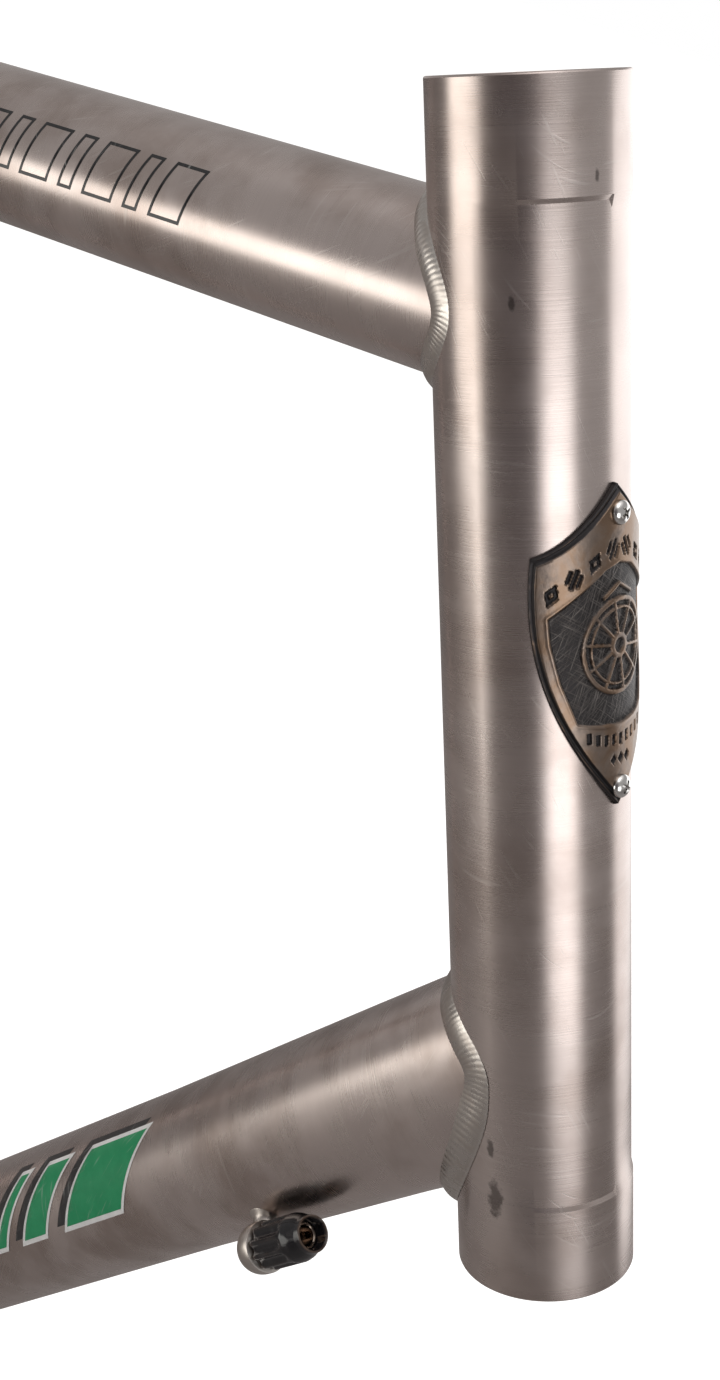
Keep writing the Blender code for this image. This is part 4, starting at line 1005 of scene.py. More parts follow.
class ROADFRAME_OT_main_tubes(bpy.types.Operator):
    """Sweep and mitre the top, down and seat tubes"""

    bl_idname = "road_frame.main_tubes"
    bl_label = "Main Tubes"

    def execute(self, context):
        self.top_tube()
        self.down_tube()
        self.seat_tube()
        return {"FINISHED"}

    def top_tube(self):
        place, length, radius = top_place(), top_length(), half_width("top_tube")
        back = place.col[2].to_3d()
        stations = [0.0, 0.030] + [0.030 + (length - 0.056) * k / 12 for k in range(1, 13)] + [length]
        shape = bmesh.new()
        rings = [ring_matrix(place @ Matrix.Translation((0, 0, z)), radius) for z in stations]
        loops = swept(shape, rings, 144)
        mitre(loops[0], -back, head_skin())
        mitre(loops[-1], back, seat_blocker())
        finish = titanium("top_tube_titanium", place, 1.0)
        give_wall(
            finish_piece(shape, "top_tube_swept", finish, "top_tube"), settings("tubes").wall
        )

    def down_tube(self):
        place, length = down_place(), down_length()
        back = place.col[2].to_3d()
        head_swage, bracket_swage = settings("tubes").swages
        stations = [0.0, 0.045, 0.075, 0.1, head_swage - 0.012, head_swage, head_swage + 0.012]
        last = length - bracket_swage
        stations += [head_swage + (last - head_swage) * k / 6 for k in range(1, 6)]
        stations += [last - 0.012, last, last + 0.012, length - 0.07, length - 0.045, length]
        shape = bmesh.new()
        rings = [ring_matrix(place @ Matrix.Translation((0, 0, z)), *down_section(z)) for z in stations]
        rings[0] = ring_matrix(place, *down_mouth())
        loops = swept(shape, rings, 160)
        back_to = place.inverted()
        for loop, distance, ring in zip(loops, stations, rings):
            halves = ring.col[0].to_3d().length, ring.col[1].to_3d().length
            for vert in loop:
                here = back_to @ vert.co
                bulge = squared(here.x / halves[0], here.y / halves[1], 0.7 * max(1 - distance / head_swage, 0.0))
                vert.co = place @ Vector((here.x * bulge, here.y * bulge, here.z))
        mitre(loops[0], -back, head_skin())
        mitre(loops[-1], back, shell_blocker())
        finish = titanium("down_tube_titanium", place, 1.15)
        give_wall(
            finish_piece(shape, "down_tube_swept", finish, "down_tube"), settings("tubes").wall
        )

    def seat_tube(self):
        sizes = settings("tubes")
        place = axes(BRACKET, SEAT_UP)
        top = (seat_top() - BRACKET).length
        radius, bore = sizes.seat_outside / 2, sizes.post_bore / 2
        inside = radius - sizes.wall
        foot = shell_blocker()[2] * 0.9
        profile = [(radius - 0.0002, top), (radius, top - 0.0002)]
        profile += [(radius, mix(top - 0.05, foot + 0.02, k / 12)) for k in range(13)]
        profile += [(radius, foot), (inside, foot), (inside, top - sizes.sleeve)]
        profile += [(bore, top - sizes.sleeve + inside - bore), (bore, top - 0.0003), (bore + 0.0003, top)]
        shape = bmesh.new()
        turned(shape, place, profile, 128)
        width, depth, hole = sizes.slot
        finish = titanium("seat_tube_titanium", place, 1.0)
        piece = finish_piece(shape, "seat_tube_turned", finish, "seat_tube")
        slot_length = depth + 0.02
        cut(
            piece,
            [
                brick(place, (radius, width, slot_length), (-radius, 0, top - depth + slot_length / 2)),
                rod(axes(place @ Vector((0, 0, top - depth)), -SEAT_FRONT), hole / 2, bore / 2, radius + 0.01),
                rod(axes(BRACKET, LEFT, UP), shell_blocker()[2] - 0.0002, -0.04, 0.04, 96),
            ],
        )
        piece.data.set_sharp_from_angle(angle=math.radians(35))


class ROADFRAME_OT_bracket_shell(bpy.types.Operator):
    """Turn the bottom bracket shell with the threads at its two ends"""

    bl_idname = "road_frame.bracket_shell"
    bl_label = "Bracket Shell"

    def execute(self, context):
        sizes = settings("tubes")
        _, _, radius = shell_blocker()
        half = half_width("bottom_bracket_shell")
        bore, edge, pitch = sizes.shell_bore / 2, 0.0004, 0.00106
        outside = [(radius - edge, half), (radius, half - edge), (radius, edge - half), (radius - edge, -half)]
        turns = int(sizes.thread_length / pitch)
        thread = []
        for k in range(turns):
            z = -half + 0.0012 + k * pitch
            thread += [(bore + 0.0004, z), (bore - 0.0002, z + pitch * 0.45), (bore - 0.0002, z + pitch * 0.55)]
        thread.append((bore + 0.0006, -half + 0.0012 + turns * pitch))
        mirrored = [(r, -z) for r, z in reversed(thread)]
        inside = [(bore + 0.0009, -half), *thread, *mirrored, (bore + 0.0009, half)]
        place = axes(BRACKET, LEFT, UP)
        shape = bmesh.new()
        turned(shape, place, outside + inside, 128)
        finish = titanium("shell_titanium", place, 0.8, 1.02)
        finish_piece(shape, "bracket_shell_turned", finish, "bottom_bracket_shell")
        return {"FINISHED"}


class ROADFRAME_OT_stays(bpy.types.Operator):
    """Sweep the chainstays, seatstays and bridges"""

    bl_idname = "road_frame.stays"
    bl_label = "Stays and Bridges"

    def execute(self, context):
        for word, side in SIDES:
            self.chainstay(word, side)
            self.seatstay(word, side)
        self.bridges()
        return {"FINISHED"}

    def closed_end(self, shape, loops, place, radius):
        """Rounds the end of a stay into a dome over the dropout's tab."""
        rings = [ring_matrix(place, radius)]
        for angle in quarter(8)[1:-1]:
            lift = place @ Matrix.Translation((0, 0, radius * 0.75 * math.sin(angle)))
            rings.append(ring_matrix(lift, radius * math.cos(angle)))
        edges = [e for e in shape.edges if e.is_boundary and all(v in loops[-1] for v in e.verts)]
        before = rings[0]
        for after in rings[1:]:
            made = bmesh.ops.extrude_edge_only(shape, edges=edges)["geom"]
            verts = [g for g in made if isinstance(g, bmesh.types.BMVert)]
            edges = [g for g in made if isinstance(g, bmesh.types.BMEdge) and all(v in verts for v in g.verts)]
            bmesh.ops.transform(shape, matrix=after @ before.inverted(), space=Matrix(), verts=verts)
            before = after
        bmesh.ops.contextual_create(shape, geom=edges)

    def chainstay(self, word, side):
        sizes = settings("stays")
        length = (REAR_AXLE - BRACKET).length
        end = 1 - (sizes.axle_gap + 0.004) / length
        count = 48
        shares = [end * k / (count - 1) for k in range(count)]
        shares[1] = shares[2] = 0.0
        shares = sorted({round(s, 6) for s in shares[3:]} | {0.0, 0.065})
        places = [chainstay_place(side, max(s, 0.006)) for s in shares]
        shape = bmesh.new()
        loops = swept(shape, [ring_matrix(p, chainstay_radius(s)) for p, s in zip(places, shares)], 64)
        forward = (chainstay_point(side, 0.0) - chainstay_point(side, 0.05)).normalized()
        mitre(loops[0], forward, shell_blocker())
        self.closed_end(shape, loops, places[-1], chainstay_radius(shares[-1]))
        finish = titanium("chainstay_titanium_" + word, axes(REAR_AXLE, CHAINSTAY_AIM), 1.0)
        finish_piece(shape, "chainstay_swept_" + word, finish, "chainstay_" + word)

    def seatstay(self, word, side):
        sizes = settings("stays")
        start, end = seatstay_ends(side)
        place = axes(start, end - start)
        length = (end - start).length - 0.004
        stations = [0.0, 0.02] + [0.02 + (length - 0.02) * k / 16 for k in range(1, 17)]
        radius = sizes.seatstay / 2
        shape = bmesh.new()
        rings = [ring_matrix(place @ Matrix.Translation((0, 0, z)), radius) for z in stations]
        loops = swept(shape, rings, 56)
        mitre(loops[0], -place.col[2].to_3d(), seat_blocker())
        self.closed_end(shape, loops, place @ Matrix.Translation((0, 0, length)), radius)
        finish = titanium("seatstay_titanium_" + word, place, 1.0)
        finish_piece(shape, "seatstay_swept_" + word, finish, "seatstay_" + word)

    def bridges(self):
        sizes = settings("stays")
        for name, ring in bridge_rings():
            shape = bmesh.new()
            loops = swept(shape, ring["rings"], 64)
            for loop, outward, blocker in ((loops[0], -LEFT, ring["right"]), (loops[-1], LEFT, ring["left"])):
                mitre(loop, outward, blocker)
            finish = titanium(name + "_titanium", ring["place"], 1.0)
            piece = finish_piece(shape, name + "_swept", finish, name)
            give_wall(piece, settings("tubes").wall)
        outer, bore, length = sizes.bushing[0] / 2, sizes.bushing[1] / 2, sizes.bushing[2] / 2
        edge = 0.0005
        profile = [(outer - edge, length), (outer, length - edge), (outer, edge - length), (outer - edge, -length)]
        profile += [(bore + edge, -length), (bore, edge - length), (bore, length - edge), (bore + edge, length)]
        centre, behind, _ = brake_bridge_place()
        across = axes(centre, behind)
        shape = bmesh.new()
        turned(shape, across, profile, 64)
        finish = machined_titanium("bushing_titanium", across)
        finish_piece(shape, "bushing_turned", finish, "brake_bridge_bushing")


def brake_bridge_place():
    """Centre of the brake bridge, the direction of its bolt and its half length."""
    sizes = settings("stays")
    start, _ = seatstay_ends(1)
    start.y = 0
    aim = (start - REAR_AXLE).normalized()
    behind = aim.cross(LEFT)
    behind = behind if behind.x < 0 else -behind
    share = sizes.bridge_rise / (start - REAR_AXLE).length
    return REAR_AXLE + sizes.bridge_rise * aim, behind, mix(DROPOUT_Y, sizes.seatstay_y, share)


def bridge_rings():
    """Ring matrices and blocking stays of the two bridges."""
    sizes = settings("stays")
    centre, behind, half = brake_bridge_place()
    stays = []
    for _, side in SIDES:
        start, end = seatstay_ends(side)
        stays.append((start, (end - start).normalized(), sizes.seatstay / 2))
    place = axes(centre, LEFT, behind)
    spread = [-half, -half * 0.6, -half * 0.2, half * 0.2, half * 0.6, half]
    rings = [ring_matrix(place @ Matrix.Translation((0, 0, z)), sizes.bridge[0] / 2) for z in spread]
    yield "brake_bridge", {"place": place, "rings": rings, "right": stays[0], "left": stays[1]}
    share = -sizes.bridge_x / REAR_AXLE.x
    centre = REAR_AXLE * share
    half = chainstay_point(1, share).y
    stays = []
    for _, side in SIDES:
        here = chainstay_place(side, share)
        stays.append((here.translation.copy(), here.col[2].to_3d(), chainstay_radius(share)))
    place = axes(centre, LEFT, UP)
    spread = [-half, -half * 0.5, -half * 0.15, half * 0.15, half * 0.5, half]
    rings = [ring_matrix(place @ Matrix.Translation((0, 0, z)), sizes.bridge[1] / 2) for z in spread]
    yield "chainstay_bridge", {"place": place, "rings": rings, "right": stays[0], "left": stays[1]}


class ROADFRAME_OT_dropouts(bpy.types.Operator):
    """Round the edges of the dropout plates"""

    bl_idname = "road_frame.dropouts"
    bl_label = "Dropouts"

    def execute(self, context):
        for word, side in SIDES:
            place = axes(REAR_AXLE + side * DROPOUT_Y * LEFT, LEFT, UP)
            finish = titanium("dropout_titanium_" + word, place, 1.0, 1.02)
            refined("dropout_" + word, "dropout_rounded_" + word, finish, 0.0005, 3)
        return {"FINISHED"}


# ---------------------------------------------------------------- operators: welds


def bead(name, joint_curve, leg, pitch, seed, sink=0.00012, tilt=0.5):
    """A weld bead of overlapping ripples round a joint, which is a curve and the way its tube runs in.

    curve(turn) gives the corner point and the outward normals of the two surfaces for a turn in 0..1.
    """
    curve, run = joint_curve
    coarse = [curve(k / 96)[0] for k in range(97)]
    length = sum((b - a).length for a, b in zip(coarse, coarse[1:]))
    ripples = max(int(length / pitch), 8)
    along, around = ripples * 6, 14
    shape = bmesh.new()
    grid = bmesh.ops.create_grid(shape, x_segments=along, y_segments=around, size=0.5)["verts"]
    corners = {}
    for vert in grid:
        s, t = vert.co.x + 0.5, vert.co.y + 0.5
        step = round(s * along) % along
        if step not in corners:
            corners[step] = corner(curve, step / along, run)
        point, toe_a, toe_b, out_a, out_b = corners[step]
        wander = noise.noise(Vector((step / along * length * 180, seed, 0.0)))
        if t <= 0.72:
            a = t / 0.72
            phase = ripples * step / along + tilt * (2 * a - 1) ** 2 + 0.12 * wander
            lobe = abs(math.sin(math.pi * phase)) ** 0.6
            reach = leg * (0.95 + 0.05 * wander + 0.05 * lobe * (0.5 + 0.5 * math.sin(math.pi * a)))
            flat = toe_a * (1 - a) + toe_b * a
            round_ = toe_a * math.cos(a * math.pi / 2) + toe_b * math.sin(a * math.pi / 2)
            crown = (out_a + out_b).normalized() * ((out_a + out_b).length / 2) ** 3
            offset = reach * (0.78 * flat + 0.22 * round_ + 0.13 * math.sin(math.pi * a) * crown)
        else:
            c = (t - 0.72) / 0.28
            offset = leg * (0.93 * (toe_b * (1 - c) + toe_a * c) - 0.8 * math.sin(math.pi * c) * (toe_a + toe_b))
        vert.co = point + offset - sink * (out_a + out_b)
    return finish_piece(shape, name, once(weld_titanium, "weld_titanium"), sharp=80)


def corner(curve, turn, run):
    """The corner point, the directions up each surface away from it, and the two outward normals."""
    point, out_a, out_b = curve(turn)
    ahead, behind = curve((turn + 0.002) % 1.0)[0], curve((turn - 0.002) % 1.0)[0]
    along = (ahead - behind).normalized()
    toe_a = out_a.cross(along).normalized()
    toe_b = out_b.cross(along).normalized()
    toe_a = toe_a if toe_a.dot(run) < 0 else -toe_a
    toe_b = toe_b if toe_b.dot(out_a + run) > 0 else -toe_b
    return point, toe_a, toe_b, out_a, out_b


def round_joint(place, half_x, half_y, direction, blocker, squareness=0.0):
    """The corner where a round or oval tube runs into a round one, as a curve for a bead."""
    origin, axis, _ = blocker

    def curve(turn):
        angle = math.tau * turn
        bulge = squared(math.cos(angle), math.sin(angle), squareness)
        local = Vector((half_x * math.cos(angle), half_y * math.sin(angle), 0)) * bulge
        normal = Vector((math.cos(angle) / half_x, math.sin(angle) / half_y, 0)).normalized()
        point = reach_round(place @ local, direction, blocker)
        from_axis = point - origin
        from_axis -= from_axis.dot(axis) * axis
        return point, (place.to_3x3() @ normal).normalized(), from_axis.normalized()

    return curve, direction


class ROADFRAME_OT_welds(bpy.types.Operator):
    """Lay a rippled weld bead round every joint of the tubes"""

    bl_idname = "road_frame.welds"
    bl_label = "Weld Beads"

    def execute(self, context):
        top, down = top_place(), down_place()
        back = top.col[2].to_3d()
        radius = half_width("top_tube")
        far = top @ Matrix.Translation((0, 0, top_length() - 0.03))
        near = top @ Matrix.Translation((0, 0, 0.03))
        bead("weld_top_tube_head", round_joint(near, radius, radius, -back, head_skin()), 0.0030, 0.00095, 1)
        bead("weld_top_tube_seat", round_joint(far, radius, radius, back, seat_blocker()), 0.0028, 0.00095, 2)
        back = down.col[2].to_3d()
        near = down @ Matrix.Translation((0, 0, 0.04))
        bead("weld_down_tube_head", round_joint(near, *down_mouth(), -back, head_skin(), 0.7), 0.0040, 0.00120, 3)
        halves = down_section(down_length() - 0.02)
        far = down @ Matrix.Translation((0, 0, down_length() - 0.04))
        bead("weld_down_tube_shell", round_joint(far, *halves, back, shell_blocker()), 0.0024, 0.00120, 4)
        seat = axes(BRACKET + 0.05 * SEAT_UP, SEAT_UP)
        outside = settings("tubes").seat_outside / 2
        bead("weld_seat_tube_shell", round_joint(seat, outside, outside, -SEAT_UP, shell_blocker()), 0.0022, 0.00115, 5)
        self.stays()
        self.bridges()
        return {"FINISHED"}

    def stays(self):
        sizes = settings("stays")
        for word, side in SIDES:
            place = chainstay_place(side, 0.07)
            forward = (chainstay_point(side, 0.0) - chainstay_point(side, 0.05)).normalized()
            radius = chainstay_radius(0.0)
            curve = round_joint(place, radius, radius, forward, shell_blocker())
            bead("weld_chainstay_shell_" + word, curve, 0.0018, 0.00105, 6 + side)
            start, end = seatstay_ends(side)
            away = (end - start).normalized()
            place = axes(start + 0.03 * away, away)
            curve = round_joint(place, sizes.seatstay / 2, sizes.seatstay / 2, -away, seat_blocker())
            bead("weld_seatstay_seat_" + word, curve, 0.0014, 0.00095, 9 + side)

    def bridges(self):
        sizes = settings("stays")
        radii = (sizes.bridge[0] / 2, sizes.bridge[1] / 2)
        for (name, ring), radius in zip(bridge_rings(), radii):
            for word, outward, blocker in (("right", -LEFT, ring["right"]), ("left", LEFT, ring["left"])):
                curve = round_joint(ring["place"], radius, radius, outward, blocker)
                bead(f"weld_{name}_{word}", curve, 0.0014, 0.00095, 12 + radius * 1000)


# ---------------------------------------------------------------- operators: badge


def shield_edge(height):
    """Half width of the shield at a height below its upper tip, in one array."""
    sizes = settings("badge")
    wide, tall, shoulder = sizes.half_width, sizes.height, sizes.shoulder
    t = np.linspace(0, 1, 200)[:, None]
    keep_t = 1 - t

    def bezier(a, b, c, d):
        a, b, c, d = (np.array(p) for p in (a, b, c, d))
        return keep_t**3 * a + 3 * keep_t**2 * t * b + 3 * keep_t * t**2 * c + t**3 * d

    brow = bezier((0, 0), (0.31 * wide, 0.39 * shoulder), (0.62 * wide, 0.85 * shoulder), (wide, shoulder))
    cheek = bezier((wide, shoulder), (1.11 * wide, 0.47 * tall), (0.89 * wide, 0.73 * tall), (0, tall))
    upper = np.interp(height, brow[:, 1], brow[:, 0])
    lower = np.interp(height, cheek[:, 1], cheek[:, 0])
    return np.where(height < shoulder, upper, lower), np.vstack([brow, cheek[1:]])


def distance_to(points, line, closed=False):
    """Distance of each point to a polyline."""
    starts, ends = line[:-1], line[1:]
    if closed:
        starts, ends = line, np.roll(line, -1, axis=0)
    best = np.full(len(points), np.inf)
    for a, b in zip(starts, ends):
        run = b - a
        share = np.clip(((points - a) @ run) / (run @ run), 0, 1)
        best = np.minimum(best, np.linalg.norm(points - a - share[:, None] * run, axis=1))
    return best


def soft(low, high, value):
    share = np.clip((value - low) / (high - low), 0, 1)
    return share * share * (3 - 2 * share)


MM = 0.001


def badge_relief(u, v):
    """Height above the base, rubbed share and field share of the casting at a point of the flat shield."""
    sizes = settings("badge")
    edge_width, line = shield_edge(v)
    points = np.stack([np.abs(u), v], axis=1)
    inside = distance_to(points, line)
    # the stepped border: a thin lip, a groove, then the raised band
    full = sizes.thickness
    height = full * (0.50 + 0.16 * soft(0, 0.25 * MM, inside) - 0.12 * soft(0.4 * MM, 0.6 * MM, inside))
    height += full * 0.46 * soft(0.85 * MM, 1.45 * MM, inside)
    worn = 0.10 + 0.35 * soft(0.1 * MM, 0.3 * MM, inside) - 0.35 * soft(0.4 * MM, 0.6 * MM, inside)
    worn += 0.72 * soft(1.1 * MM, 1.5 * MM, inside)
    # the sunk field with its peaked brow
    field_line = np.array(
        [(0, 15.2), (4.0, 16.2), (16.2, 24.2), (15.9, 29.0), (14.0, 36.8), (10.6, 45.4), (5.0, 46.6), (0, 47.0)]
    ) * MM
    left = np.interp(v, field_line[2:, 1], field_line[2:, 0], left=0, right=0)
    brow = np.interp(v, field_line[:3, 1], field_line[:3, 0], left=0, right=99)
    in_field = points[:, 0] < np.minimum(left + (v < field_line[2, 1]) * 99, brow)
    depth = distance_to(points, field_line) * np.where(in_field, 1, -1)
    sunk = soft(-0.15 * MM, 0.2 * MM, depth)
    height -= full * 0.42 * sunk
    worn -= 0.70 * sunk
    # a bright rubbed bead along the field's rim
    rim = np.exp(-((depth + 0.45 * MM) / (0.22 * MM)) ** 2)
    height += full * 0.05 * rim
    worn += 0.2 * rim
    emblem = wheel_emblem(u, v - 31.5 * MM)
    height += full * 0.36 * emblem * sunk
    worn += 0.62 * emblem * sunk
    marks = band_marks(u, v)
    height -= full * 0.36 * marks
    worn -= 0.95 * marks
    return height, np.clip(worn, 0, 1), sunk * (1 - emblem)


def wheel_emblem(u, v):
    """A spoked wheel over a chevron, raised from the field."""
    r, angle = np.hypot(u, v), np.arctan2(v, u)
    ring = 1 - soft(0.42 * MM, 0.62 * MM, np.abs(r - 9.2 * MM))
    inner = 1 - soft(0.22 * MM, 0.4 * MM, np.abs(r - 7.5 * MM))
    hub = 1 - soft(0.5 * MM, 0.72 * MM, np.abs(r - 2.0 * MM))
    spokes = np.zeros_like(r)
    for k in range(10):
        turn = math.tau * k / 10 + 0.16
        off = np.abs(-math.sin(turn) * u + math.cos(turn) * v)
        on = (math.cos(turn) * u + math.sin(turn) * v > 2.2 * MM) & (r < 9 * MM)
        spokes = np.maximum(spokes, (1 - soft(0.26 * MM, 0.44 * MM, off)) * on)
    made = np.maximum.reduce([ring, inner, hub, spokes])
    for drop in (-12.3 * MM,):
        tip = np.abs(v - drop - 0.55 * np.abs(u))
        made = np.maximum(made, (1 - soft(0.35 * MM, 0.55 * MM, tip)) * (np.abs(u) < 4.6 * MM))
    return made


def band_marks(u, v):
    """Engraved lozenges and bars along the upper band, ticks and a diamond below the field."""
    made = np.zeros_like(u)
    mirrored = np.abs(u)
    for k in range(4):
        along = (15.6 - 4.5 * k) * MM
        down = (19.6 - 2.9 * k + 0.16 * k * k) * MM
        du, dv = mirrored - along, v - down
        turn = 0.42
        x = math.cos(turn) * du - math.sin(turn) * dv
        y = math.sin(turn) * du + math.cos(turn) * dv
        if k % 2:
            bar = np.maximum(np.abs(x) - 0.32 * MM, np.abs(y) - 1.9 * MM)
            bar = np.minimum(bar, np.maximum(np.abs(np.abs(x) - 1.15 * MM) - 0.26 * MM, np.abs(y) - 1.2 * MM))
        else:
            bar = np.abs(x) / 0.62 + np.abs(y) - 2.2 * MM
            bar = np.maximum(bar, 0.55 * MM - (np.abs(x) + np.abs(y) * 0.6))
        made = np.maximum(made, 1 - soft(-0.05 * MM, 0.16 * MM, bar))
    for k in range(5):
        along, down = 2.05 * k * MM, (50.3 - 0.10 * k * k) * MM
        tick = np.maximum(np.abs(mirrored - along) - 0.42 * MM, np.abs(v - down) - 1.0 * MM)
        made = np.maximum(made, 1 - soft(-0.05 * MM, 0.15 * MM, tick))
    for along in (0.0, 2.1 * MM):
        diamond = np.abs(mirrored - along) + np.abs(v - 54.3 * MM) * 0.8 - 0.85 * MM
        made = np.maximum(made, 1 - soft(-0.05 * MM, 0.15 * MM, diamond))
    return made


class ROADFRAME_OT_badge(bpy.types.Operator):
    """Cast the head badge in relief and set its two cross-head screws"""

    bl_idname = "road_frame.badge"
    bl_label = "Head Badge"

    def execute(self, context):
        self.casting()
        self.screws()
        return {"FINISHED"}

    def rows(self):
        """Heights of the grid's rows, with one exactly on the shoulder."""
        sizes = settings("badge")
        upper = np.linspace(0, sizes.shoulder, 62)
        lower = np.linspace(sizes.shoulder, sizes.height, 216)[1:]
        return np.concatenate([upper, lower])

    def place_grid(self, shape, columns, rows, lift):
        """A grid wrapped round the head tube; lift(u, v) gives each point's distance from the axis."""
        sizes = settings("badge")
        grid = bmesh.ops.create_grid(shape, x_segments=columns, y_segments=len(rows) - 1, size=0.5)["verts"]
        s = np.array([vert.co.x for vert in grid]) * 2
        k = np.rint((np.array([vert.co.y for vert in grid]) + 0.5) * (len(rows) - 1)).astype(int)
        v = rows[k]
        width = np.maximum(shield_edge(v)[0], 0.00035)
        rim = np.abs(s) > 1 - 0.5 / columns
        ends = (k == 0) | (k == len(rows) - 1)
        inward = np.clip(np.abs(s) / (1 - 2 / columns), 0, 1) * np.sign(s)
        u = width * inward
        radius, extra = lift(u, v, rim | ends)
        origin, up, _ = head_blocker()
        tip = (head_top() - origin).dot(up) - sizes.tip
        wrap = half_width("head_tube") - settings("tubes").relief + sizes.thickness
        layers = {key: shape.verts.layers.float.get(key) or shape.verts.layers.float.new(key) for key in extra}
        for i, vert in enumerate(grid):
            angle = u[i] / wrap
            outward = math.cos(angle) * HEAD_FRONT + math.sin(angle) * LEFT
            vert.co = origin + float(tip - v[i]) * up + float(radius[i]) * outward
            for key, values in extra.items():
                vert[layers[key]] = float(values[i])

    def casting(self):
        base = half_width("head_tube") - settings("tubes").relief + 0.00005

        def front(u, v, rim):
            height, worn, field = badge_relief(u, v)
            return np.where(rim, base, base + height), {"relief": worn, "field": field}

        def back(u, v, rim):
            flat = np.zeros_like(u)
            return np.full(len(u), base), {"relief": flat, "field": flat}

        shape = bmesh.new()
        shape.verts.layers.float.new("relief")
        shape.verts.layers.float.new("field")
        rows = self.rows()
        self.place_grid(shape, 168, rows, front)
        finish_piece(shape, "head_badge_cast", once(cast_bronze, "badge_bronze"), "head_badge", sharp=60)

    def screws(self):
        sizes = settings("badge")
        origin, up, _ = head_blocker()
        tip = (head_top() - origin).dot(up) - sizes.tip
        heights = (("upper", tip - sizes.screw[0]), ("lower", tip - sizes.height + sizes.screw[1]))
        head, tall = sizes.screw_head[0] / 2, sizes.screw_head[1]
        outside = half_width("head_tube") - settings("tubes").relief + sizes.thickness
        for (word, height), turn in zip(heights, (0.5, 1.0)):
            place = axes(origin + height * up + outside * HEAD_FRONT, HEAD_FRONT)
            place = place @ Matrix.Rotation(turn, 4, "Z")
            profile = dome(head, tall * 0.85, 10, tall * 0.15) + [(head, 0.0), (0.0011, -0.0001), (0.0011, -0.005), (0.0, -0.005)]
            shape = bmesh.new()
            turned(shape, place, profile, 56, closed=False)
            finish = once(polished_steel, "screw_steel")
            piece = finish_piece(shape, "badge_screw_polished_" + word, finish, "badge_screw_" + word)
            arms = [brick(place @ Matrix.Rotation(a, 4, "Z"), (head * 1.15, 0.0006, tall), (0, 0, tall)) for a in (0, math.pi / 2)]
            cone = bmesh.new()
            bmesh.ops.create_cone(
                cone, cap_ends=True, segments=24, radius1=0.0003, radius2=0.0009, depth=tall,
                matrix=place @ Matrix.Translation((0, 0, tall)),
            )
            cut(piece, arms + [cone])
            piece.data.set_sharp_from_angle(angle=math.radians(35))


# ---------------------------------------------------------------- operators: adjusters


def adjuster_place(word, side):
    """Local Z is the cable's line, forwards; local X points away from the down tube."""
    hinge = joint(f"adjuster_{word}_turn")
    origin, forward = Vector(hinge["pos_m"]), Vector(hinge["axis"])
    inward = BRACKET - origin
    inward -= inward.dot(forward) * forward
    return axes(origin, forward, forward.cross(-inward))


